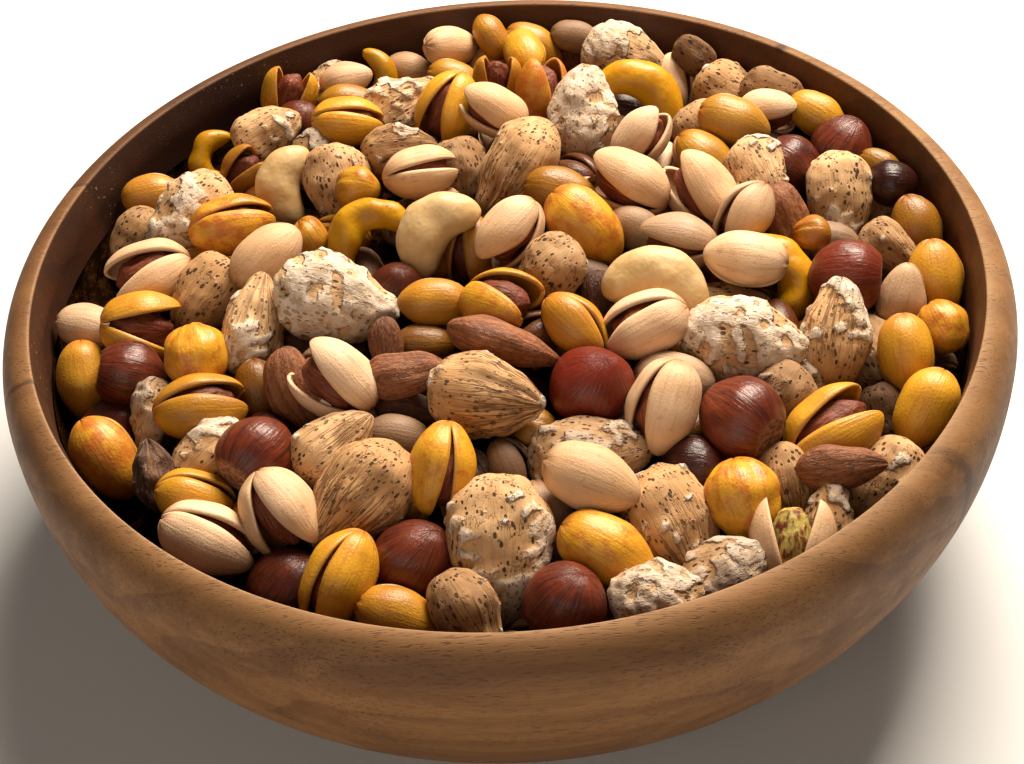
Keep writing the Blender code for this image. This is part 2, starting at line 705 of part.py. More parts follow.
def keep_outer_shell(made):
    """Fills hollows that the fusing sealed and drops loose scraps: only the largest shell stays."""
    solid = bmesh.new()
    solid.from_mesh(made.data)
    bmesh.ops.dissolve_limit(
        solid, angle_limit=radians(FLAT_ANGLE), verts=solid.verts, edges=solid.edges
    )
    bmesh.ops.triangulate(solid, faces=solid.faces)
    shells = sorted(shells_of(solid), key=len)
    for shell in shells[:-1]:
        bmesh.ops.delete(solid, geom=shell, context="FACES")
    solid.to_mesh(made.data)
    solid.free()


def build_heap(group):
    kinds, rows, middles, axes, half = place_nuts()
    heap = build_core(middles, group)
    pieces = new_collection("nuts_to_fuse")
    for number, kind in enumerate(kinds):
        if rows[number][DEPTH] >= SUNK_NUT_DEPTH:
            continue
        name = f"{kind}_{number:03d}"
        nut_object(name, kind, rows[number], middles[number], axes[number], half[number], pieces)
    union_with(heap, pieces)
    keep_outer_shell(heap)
    heap.data.materials.clear()
    heap.data.materials.append(nutshell())
    shade(heap, HEAP_SHARP_ANGLE)
    return heap


clear_scene()
parts = new_collection("bowl_of_nuts")
build_bowl(parts)
build_heap(parts)
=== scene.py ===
"""A turned wooden bowl heaped with mixed nuts, on a pale floor in soft light.

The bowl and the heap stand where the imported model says. The heap's one solid is replaced by the
real nuts, one mesh for each kind, placed by the same view and the same settling as the solid.
"""

import bpy
import numpy as np
from mathutils import Matrix, Vector


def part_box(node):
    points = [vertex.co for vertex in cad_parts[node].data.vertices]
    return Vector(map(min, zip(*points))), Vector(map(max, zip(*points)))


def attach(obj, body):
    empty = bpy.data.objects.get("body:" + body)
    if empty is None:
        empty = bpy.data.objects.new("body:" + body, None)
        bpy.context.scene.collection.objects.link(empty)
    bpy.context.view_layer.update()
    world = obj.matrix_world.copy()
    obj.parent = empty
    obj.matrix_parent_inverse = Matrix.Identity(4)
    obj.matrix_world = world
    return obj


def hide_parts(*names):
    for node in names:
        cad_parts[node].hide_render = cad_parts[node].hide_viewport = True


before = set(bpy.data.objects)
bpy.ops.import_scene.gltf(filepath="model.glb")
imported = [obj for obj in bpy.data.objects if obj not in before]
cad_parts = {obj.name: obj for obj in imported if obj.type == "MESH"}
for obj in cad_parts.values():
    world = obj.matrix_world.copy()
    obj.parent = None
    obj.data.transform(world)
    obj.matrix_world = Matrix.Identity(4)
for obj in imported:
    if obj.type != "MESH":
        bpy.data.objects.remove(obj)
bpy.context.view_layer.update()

# The view. The bowl is seen from the front at arm's length, from above, with the camera rolled a
# little. The nuts' places further down are read along this view's sight lines. The view's height
# counts from a level just under the rim.
MM = 0.001
bowl_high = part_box("bowl")[1]
RIM_RADIUS = bowl_high.x
HEIGHT = bowl_high.z
VIEW_BASE = 0.067
VIEW_DISTANCE = 0.420
VIEW_RISE = np.radians(39.97)
VIEW_PITCH = np.radians(43.34)
VIEW_ROLL = np.radians(-4.02)
VIEW_FOCUS = 1926.9
PICTURE_WIDTH = 1024
PICTURE_HEIGHT = 764
SENSOR_WIDTH = 36.0

eye = np.array(
    [0.0, -VIEW_DISTANCE * np.cos(VIEW_RISE), VIEW_BASE + VIEW_DISTANCE * np.sin(VIEW_RISE)]
)
ahead = np.array([0.0, np.cos(VIEW_PITCH), -np.sin(VIEW_PITCH)])
level = np.array([1.0, 0.0, 0.0])
above = np.cross(level, ahead)
right = np.cos(VIEW_ROLL) * level + np.sin(VIEW_ROLL) * above
up = np.cos(VIEW_ROLL) * above - np.sin(VIEW_ROLL) * level

scene = bpy.context.scene
camera_data = bpy.data.cameras.new("view")
camera_data.sensor_width = SENSOR_WIDTH
camera_data.lens = VIEW_FOCUS / PICTURE_WIDTH * SENSOR_WIDTH
camera_data.clip_start = 0.01
camera = bpy.data.objects.new("view", camera_data)
turn = Matrix(np.stack([right, up, -ahead], 1).tolist())
camera.matrix_world = Matrix.Translation(eye.tolist()) @ turn.to_4x4()
scene.collection.objects.link(camera)
scene.camera = camera


# The light. A soft window high behind the bowl, a little to the right, gives the highlights. A
# wide weak one low in front keeps the wall and the near sides of the nuts open, and the sky is
# dim, so that the gaps between nuts go dark.
WINDOW_PLACE = (0.20, 0.38, 0.62)
WINDOW_SIZE = 0.40
WINDOW_POWER = 17.0
WINDOW_COLOUR = (1.0, 0.88, 0.73)
FILL_PLACE = (-0.30, -0.80, 0.36)
FILL_SIZE = 0.8
FILL_POWER = 3.2
FILL_COLOUR = (1.0, 0.87, 0.72)
SKY_COLOUR = (1.0, 0.90, 0.78)
SKY_STRENGTH = 0.07


def soft_light(name, place, size, power, colour):
    """A square area light that looks at the middle of the bowl."""
    data = bpy.data.lights.new(name, "AREA")
    data.size = size
    data.energy = power
    data.color = colour
    made = bpy.data.objects.new(name, data)
    made.rotation_mode = "QUATERNION"
    made.rotation_quaternion = (-Vector(place)).to_track_quat("-Z", "Y")
    made.location = place
    scene.collection.objects.link(made)


soft_light("window", WINDOW_PLACE, WINDOW_SIZE, WINDOW_POWER, WINDOW_COLOUR)
soft_light("fill", FILL_PLACE, FILL_SIZE, FILL_POWER, FILL_COLOUR)
world = bpy.data.worlds.new("sky")
world.use_nodes = True
sky = world.node_tree.nodes["Background"]
sky.inputs["Color"].default_value = (*SKY_COLOUR, 1.0)
sky.inputs["Strength"].default_value = SKY_STRENGTH
scene.world = world
scene.view_settings.view_transform = "Standard"


# The floor: a plain pale sheet that the bowl stands on. It isn't part of the object.
FLOOR_SIZE = 12.0
FLOOR_COLOUR = (0.60, 0.61, 0.625)
FLOOR_ROUGHNESS = 0.8


def surface(name, points, faces):
    """A mesh object from an array of points and a list of arrays of faces, shaded smooth.

    Each array of faces has one row for each face, with the numbers of its corners outward.
    """
    mesh = bpy.data.meshes.new(name)
    mesh.vertices.add(len(points))
    mesh.vertices.foreach_set("co", np.asarray(points, np.float32).ravel())
    corners = np.concatenate([block.ravel() for block in faces]).astype(np.int32)
    sizes = np.concatenate([np.full(len(block), block.shape[1]) for block in faces])
    starts = np.concatenate([[0], np.cumsum(sizes)[:-1]]).astype(np.int32)
    mesh.loops.add(len(corners))
    mesh.loops.foreach_set("vertex_index", corners)
    mesh.polygons.add(len(starts))
    mesh.polygons.foreach_set("loop_start", starts)
    mesh.update(calc_edges=True)
    mesh.shade_smooth()
    made = bpy.data.objects.new(name, mesh)
    scene.collection.objects.link(made)
    return made


class Socket:
    """An output of one of a finish's nodes. Sums on it add Math nodes."""

    def __init__(self, finish, output):
        self.finish = finish
        self.output = output

    def sum(self, operation, first, second):
        return self.finish.node("Math", {"operation": operation}, {0: first, 1: second})

    def __add__(self, other):
        return self.sum("ADD", self, other)

    def __sub__(self, other):
        return self.sum("SUBTRACT", self, other)

    def __rsub__(self, other):
        return self.sum("SUBTRACT", other, self)

    def __mul__(self, other):
        return self.sum("MULTIPLY", self, other)

    __radd__ = __add__
    __rmul__ = __mul__

    def most(self, other):
        return self.sum("MAXIMUM", self, other)

    def away(self):
        """Distance from zero."""
        return self.sum("ABSOLUTE", self, 0.0)

    def fraction(self):
        """What is left over the whole number below."""
        return self.sum("FRACT", self, 0.0)

    def rise(self, low, high):
        """A smooth step from 0 at low to 1 at high; with low above high it falls instead."""
        if low > high:
            return 1.0 - self.rise(high, low)
        settings = {"interpolation_type": "SMOOTHSTEP"}
        inputs = {"Value": self, "From Min": low, "From Max": high}
        return self.finish.node("MapRange", settings, inputs)


class Finish:
    """A Principled material, with one method that adds any node and wraps its output."""

    def __init__(self, name, roughness, **shader_values):
        self.material = bpy.data.materials.new(name)
        self.material.use_nodes = True
        self.tree = self.material.node_tree
        self.shader = self.tree.nodes["Principled BSDF"]
        self.feed(self.shader.inputs["Roughness"], roughness)
        for socket, value in shader_values.items():
            self.feed(self.shader.inputs[socket.replace("_", " ")], value)

    def feed(self, target, value):
        if isinstance(value, Socket):
            self.tree.links.new(value.output, target)
        elif hasattr(value, "__len__") and len(value) == 3 and len(target.default_value) == 4:
            target.default_value = (*value, 1.0)
        else:
            target.default_value = value

    def node(self, kind, settings, inputs, output=0):
        """A node of this kind: its settings first, then the values or links of its sockets."""
        made = self.tree.nodes.new("ShaderNode" + kind)
        for key, value in settings.items():
            setattr(made, key, value)
        for key, value in inputs.items():
            self.feed(made.inputs[key], value)
        return Socket(self, made.outputs[output])

    def place(self):
        """The point of the surface in the object's own coordinates, in metres."""
        return self.node("TexCoord", {}, {}, "Object")

    def read(self, name, output="Fac"):
        """An attribute of the mesh: Fac for a number, Vector for a point."""
        return self.node("Attribute", {"attribute_name": name}, {}, output)

    def stretch(self, point, by):
        return self.node("VectorMath", {"operation": "MULTIPLY"}, {0: point, 1: by})

    def noise(self, point, scale, detail=2.0, rough=0.5):
        inputs = {"Vector": point, "Scale": scale, "Detail": detail, "Roughness": rough}
        return self.node("TexNoise", {}, inputs)

    def mix(self, share, first, second, way="MIX"):
        """A colour between two; 6, 7 and 2 are a colour Mix node's two inputs and its output."""
        settings = {"data_type": "RGBA", "blend_type": way, "clamp_factor": True}
        return self.node("Mix", settings, {0: share, 6: first, 7: second}, 2)

    def bump(self, height, distance, strength=1.0):
        inputs = {"Height": height, "Distance": distance, "Strength": strength}
        return self.node("Bump", {}, inputs)

    def colour(self, value):
        self.feed(self.shader.inputs["Base Color"], value)

    def normal(self, value):
        self.feed(self.shader.inputs["Normal"], value)


half_floor = FLOOR_SIZE / 2
floor_points = [
    (-half_floor, -half_floor, 0.0),
    (half_floor, -half_floor, 0.0),
    (half_floor, half_floor, 0.0),
    (-half_floor, half_floor, 0.0),
]
floor = surface("floor", floor_points, [np.array([[0, 1, 2, 3]])])
floor_paint = Finish("floor_paint", FLOOR_ROUGHNESS)
floor_paint.colour(FLOOR_COLOUR)
floor.data.materials.append(floor_paint.material)


# The bowl: one thick wall of oiled hardwood, turned on a lathe, on a small flat base. Its grain
# runs from left to right, so the lines lie level round the front and radially on the side rims. A
# darker plank is glued on at the back, and its joint shows on the left.
RIM_THICKNESS = 0.009
RIM_SLOPE = 0.007
RIM_INSIDE = 0.0065
RIM_OUTSIDE = 0.011
BASE_RADIUS = 0.0415
OUTER_FULLNESS = 2.15
EDGE_ROUND = 0.0006
FLOOR_HEIGHT = 0.012
FLOOR_RADIUS = 0.040
INNER_FULLNESS = 2.4
BOWL_STEPS = 256
WALL_POINTS = 40
RIM_POINTS = 20
BASE_RINGS = 4
TURNING_WAVE = 0.10 * MM
WOOD_LIGHT = (0.290, 0.138, 0.045)
WOOD_DARK = (0.130, 0.053, 0.016)
WOOD_PORE = (0.035, 0.014, 0.006)
WOOD_RIM = (0.230, 0.115, 0.042)
# The colour that darkens the wood towards the back left
WOOD_BACK_LEFT = (0.58, 0.45, 0.34)
# Painted shade on the inner wall
WOOD_INSIDE_SHADE = (0.45, 0.325, 0.225)
# A darker plank at the back; on the left part of the inner wall this colour is painted shade too
WOOD_PLANK_AND_SHADE = (0.60, 0.55, 0.49)
PLANK = 0.038
# A painted highlight along the rim's inner edge
WOOD_EDGE_HIGHLIGHT = (0.40, 0.25, 0.13)
WOOD_KNOT = (0.020, 0.009, 0.005)
GRAIN_RUN = (0.07, 1.0, 1.0)
DUST_COLOUR = (0.55, 0.36, 0.20)
# Knots and dark marks on the wood: the middle of each, in metres, and its radius
KNOTS = (
    (-0.0340, 0.0935, 0.0585, 0.0034),
    (-0.0375, 0.0900, 0.0520, 0.0022),
    (0.0715, 0.0745, 0.0690, 0.0022),
    (0.0445, -0.0975, 0.0470, 0.0011),
)
# Joints and cracks along the grain: how far back each lies, its half width, and -1 where it shows
# at the left end of the grain or 1 at the right end
JOINTS = ((PLANK, 0.0007, -1.0), (-0.0275, 0.0009, -1.0), (-0.0660, 0.0018, 1.0))


def wall_curve(share, foot, top, fullness):
    """Radius of a wall: foot plus (top - foot) times (1 - (1 - share)^fullness)^(1 / fullness)."""
    return foot + (top - foot) * (1.0 - (1.0 - share) ** fullness) ** (1.0 / fullness)


def inner_radius(height):
    """Radius of the bowl's inner wall at a height."""
    share = np.clip((height - FLOOR_HEIGHT) / (HEIGHT - RIM_INSIDE - FLOOR_HEIGHT), 0.0, 1.0)
    return wall_curve(share, FLOOR_RADIUS, RIM_RADIUS - RIM_THICKNESS, INNER_FULLNESS)


def ring_faces(stations, around):
    """Quads between neighbouring rings of points, and a fan to the pole at each end."""
    ring = np.arange(stations * around).reshape(stations, around)
    after = np.roll(ring, -1, axis=1)
    quads = np.stack([ring[:-1], after[:-1], after[1:], ring[1:]], -1).reshape(-1, 4)
    stem = np.full(around, stations * around)
    tip = stem + 1
    stem_fan = np.stack([stem, after[0], ring[0]], -1)
    tip_fan = np.stack([ring[-1], after[-1], tip], -1)
    return quads, np.concatenate([stem_fan, tip_fan])


def closed(name, blocks):
    """One mesh of many closed skins. A block holds skins alike: their points and attributes.

    Points are an array (skins, rings, round each ring, 3). Each end of a skin is closed by a pole
    at the mean of its last ring. Attributes are arrays (skins, rings, round[, 3]) by name.
    """
    all_points, all_quads, all_fans, first = [], [], [], 0
    values = {key: [] for key in blocks[0][1]}
    for rings, attributes in blocks:
        skins, stations, around = rings.shape[:3]

        def flat(array):
            body = array.reshape(skins, stations * around, *array.shape[3:])
            poles = np.stack([array[:, 0].mean(1), array[:, -1].mean(1)], 1)
            return np.concatenate([body, poles], 1).reshape(-1, *array.shape[3:])

        points = flat(rings)
        quads, fans = ring_faces(stations, around)
        start = first + np.arange(skins)[:, None, None] * (stations * around + 2)
        all_points.append(points)
        all_quads.append((quads + start).reshape(-1, 4))
        all_fans.append((fans + start).reshape(-1, 3))
        for key, array in attributes.items():
            values[key].append(flat(array))
        first += len(points)
    faces = [np.concatenate(all_quads), np.concatenate(all_fans)]
    made = surface(name, np.concatenate(all_points), faces)
    for key, arrays in values.items():
        array = np.concatenate(arrays).astype(np.float32)
        kind, field = ("FLOAT_VECTOR", "vector") if array.ndim == 2 else ("FLOAT", "value")
        attribute = made.data.attributes.new(key, kind, "POINT")
        attribute.data.foreach_set(field, array.ravel())
    return made


def wood_finish():
    """Oiled hardwood: growth layers, fibres, short dark pores, knots, joints and dust inside."""
    wood = Finish("oiled_wood", 0.5, Specular_IOR_Level=0.32)
    place = wood.place()
    along = wood.stretch(place, GRAIN_RUN)
    right_way, back_way, up_way = (wood.node("SeparateXYZ", {}, {0: place}, axis) for axis in "XYZ")
    left = (right_way * -1.0).rise(0.0, 0.08)
    sway = wood.noise(along, 26.0, 3.0)
    layer = (back_way * 38.0 + up_way * 62.0 + sway * 5.5).fraction()
    late = layer.rise(0.35, 0.95) * layer.rise(1.0, 0.96)
    fibres = wood.noise(wood.stretch(place, (0.035, 1.0, 1.0)), 1500.0, 2.0)
    streaks = wood.noise(wood.stretch(place, (0.03, 1.0, 1.0)), 260.0, 3.0, 0.6)
    fine_pores = wood.noise(wood.stretch(place, (0.12, 1.0, 1.0)), 3200.0, 1.0).rise(0.56, 0.70)
    crowd = wood.noise(wood.stretch(place, (0.25, 1.0, 1.0)), 140.0, 2.0).rise(0.36, 0.62)
    pores = fine_pores * (0.45 + 0.55 * crowd)
    clouds = wood.noise(along, 60.0, 2.0)
    dark = (late * 0.24 + (streaks - 0.5) * 1.0 + (clouds - 0.5) * 1.2 + 0.44).rise(0.0, 1.0)
    colour = wood.mix(dark, WOOD_LIGHT, WOOD_DARK)
    colour = wood.mix(fibres.rise(0.35, 0.75) * 0.35, colour, WOOD_DARK)
    rim = wood.read("rim")
    colour = wood.mix(rim * (0.75 - 0.35 * dark), colour, WOOD_RIM)
    # Darker towards the back left.
    back_left_share = (back_way * 6.0 - right_way * 3.2 + (sway - 0.5) * 0.8).rise(-0.15, 0.75)
    colour = wood.mix(back_left_share, colour, WOOD_BACK_LEFT, "MULTIPLY")
    # Painted highlight: a lighter line along the crisp inner edge of the rim, weaker towards the back
    # left.
    colour = wood.mix(wood.read("edge") * (1.0 - 0.6 * back_left_share) * 0.5, colour, WOOD_EDGE_HIGHLIGHT)
    colour = wood.mix((back_way - PLANK).rise(0.0, 0.0008) * left, colour, WOOD_PLANK_AND_SHADE, "MULTIPLY")
    inside = wood.read("inside")
    # Painted shade: the inner wall is darkened all round, and its left part more with the plank's
    # colour.
    colour = wood.mix(inside, colour, WOOD_INSIDE_SHADE, "MULTIPLY")
    colour = wood.mix(inside * left, colour, WOOD_PLANK_AND_SHADE, "MULTIPLY")
    colour = wood.mix(pores * 0.62, colour, WOOD_PORE)
    for x, y, z, radius in KNOTS:
        far = wood.node("VectorMath", {"operation": "DISTANCE"}, {0: place, 1: (x, y, z)}, "Value")
        edge = far + (streaks - 0.5) * radius
        colour = wood.mix(edge.rise(radius, 0.3 * radius) * 0.85, colour, WOOD_KNOT)
    for across, half_width, side in JOINTS:
        off = (back_way - across + (streaks - 0.5) * 0.004).away()
        here = (right_way * side).rise(0.07, 0.09)
        colour = wood.mix(off.rise(half_width, 0.2 * half_width) * here * 0.6, colour, WOOD_KNOT)
    speck = wood.noise(place, 900.0, 2.0, 0.6).rise(0.66, 0.72)
    dusty = wood.noise(place, 30.0, 1.0).rise(0.45, 0.7) * inside * left
    colour = wood.mix(speck * dusty * 0.7, colour, DUST_COLOUR)
    wood.colour(colour)
    wood.feed(wood.shader.inputs["Roughness"], 0.50 + 0.16 * streaks + 0.12 * rim)
    grain = fibres * 0.4 + streaks * 0.3 - pores * 0.5 - late * 0.1
    wood.normal(wood.bump(grain, 0.00010))
    return wood.material


climb = 1.0 - np.cos(0.5 * np.pi * np.arange(WALL_POINTS + 1) / WALL_POINTS)
outer_heights = (HEIGHT - RIM_OUTSIDE) * climb
outer = np.stack([wall_curve(climb, BASE_RADIUS, RIM_RADIUS, OUTER_FULLNESS), outer_heights], 1)
crest = RIM_RADIUS - RIM_SLOPE
rim_turn = 0.5 * np.pi * np.arange(1, RIM_POINTS + 1) / RIM_POINTS
rim_heights = HEIGHT - RIM_OUTSIDE * (1.0 - np.sin(rim_turn))
rim = np.stack([crest + RIM_SLOPE * np.cos(rim_turn), rim_heights], 1)
edge_turn = np.radians([110, 130, 150])
edge = np.stack([np.cos(edge_turn), np.sin(edge_turn) - 1.0], 1) * EDGE_ROUND + (crest, HEIGHT)
wall_top = np.array([RIM_RADIUS - RIM_THICKNESS, HEIGHT - RIM_INSIDE])
bevel_shares = np.array([0.05, 0.3, 0.65])[:, None]
bevel = edge[-1] + (wall_top - edge[-1]) * bevel_shares
inner_heights = FLOOR_HEIGHT + (HEIGHT - RIM_INSIDE - FLOOR_HEIGHT) * climb[::-1]
inner = np.stack([inner_radius(inner_heights), inner_heights], 1)
base_radii = BASE_RADIUS * (np.arange(BASE_RINGS) + 0.5) / BASE_RINGS
base = np.stack([base_radii, np.zeros(BASE_RINGS)], 1)
bottom_radii = FLOOR_RADIUS * (np.arange(BASE_RINGS)[::-1] + 0.5) / BASE_RINGS
bottom = np.stack([bottom_radii, np.full(BASE_RINGS, FLOOR_HEIGHT)], 1)
profile = np.concatenate([base, outer, rim, edge, bevel, inner, bottom])
bowl_angle = 2.0 * np.pi * np.arange(BOWL_STEPS) / BOWL_STEPS
wave = TURNING_WAVE * np.sin(3.0 * bowl_angle + 0.7) * (profile[:, 1:] / HEIGHT)
radii = profile[:, :1] + wave * (profile[:, :1] > BASE_RADIUS)
radii = np.minimum(radii, RIM_RADIUS)
bowl_rings = np.stack(
    [
        radii * np.cos(bowl_angle),
        radii * np.sin(bowl_angle),
        np.repeat(profile[:, 1:], BOWL_STEPS, 1),
    ],
    -1,
)
ring_number = np.arange(len(profile))
edge_ring = BASE_RINGS + WALL_POINTS + RIM_POINTS + 2
rim_share = np.clip(1.0 - (HEIGHT - profile[:, 1]) / (0.7 * RIM_SLOPE), 0.0, 1.0)
inside_share = np.clip(ring_number - edge_ring - 1, 0.0, 1.0)
edge_share = np.exp(-((ring_number - edge_ring) / 1.6) ** 2)
spread_round = np.ones((1, 1, BOWL_STEPS))
bowl_looks = {
    "rim": rim_share[None, :, None] * spread_round,
    "inside": inside_share[None, :, None] * spread_round,
    "edge": edge_share[None, :, None] * spread_round,
}
bowl = closed("turned_bowl", [(bowl_rings[None], bowl_looks)])
bowl.data.materials.append(wood_finish())
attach(bowl, "root")
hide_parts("bowl")


# Where the nuts lie. Most are in their shells and rest on one another as they were poured. Those
# that show are set out by kind, and smaller ones a layer lower fill the gaps between them.
CROWN = 0.009
CROWN_FALL = 1.5
CROWN_TILT = 0.03
HEAP_GAP = 0.0005
REACH_NEAR = 0.25
REACH_FAR = 0.60
REACH_STEPS = 1401
SETTLE_STEPS = 300
SETTLE_PUSH = 0.35
SETTLE_SIDEWAYS = 0.35
SETTLE_PULL_SIDE = 0.10
SETTLE_PULL_ALONG = 0.03
SETTLE_LIMIT = 4 * MM
SETTLE_PROUD = 1 * MM
ROUND_SHARE = 0.35
GOLDEN_ANGLE = np.radians(137.508)
FILL_SEED = 7
FILL_TRIES = 420
FILL_RADIUS = 0.088
FILL_DEPTHS = (3, 5, 7, 9, 11, 13)
FILL_OVERLAP = 2.0 * MM
FILL_TILT = 25
FILL_COVER = 0.85
FILL_LENGTH_SPREAD = 0.1
FILL_KINDS = (
    ("pistachio", 17.0),
    ("gold_pistachio", 17.0),
    ("almond", 19.0),
    ("hazelnut", 15.0),
    ("almond_kernel", 17.0),
    ("pistachio", 15.0),
    ("gold_hazelnut", 12.0),
    ("gold_pistachio", 14.0),
)
# Half the width and half the thickness of each kind as shares of its length
FORM = {
    "pistachio": (0.34, 0.315),
    "gold_pistachio": (0.34, 0.315),
    "almond": (0.36, 0.27),
    "almond_kernel": (0.28, 0.18),
    "cashew": (0.32, 0.22),
    "gold_cashew": (0.32, 0.22),
    "hazelnut": (0.49, 0.47),
    "gold_hazelnut": (0.47, 0.46),
    "husk": (0.30, 0.24),
}
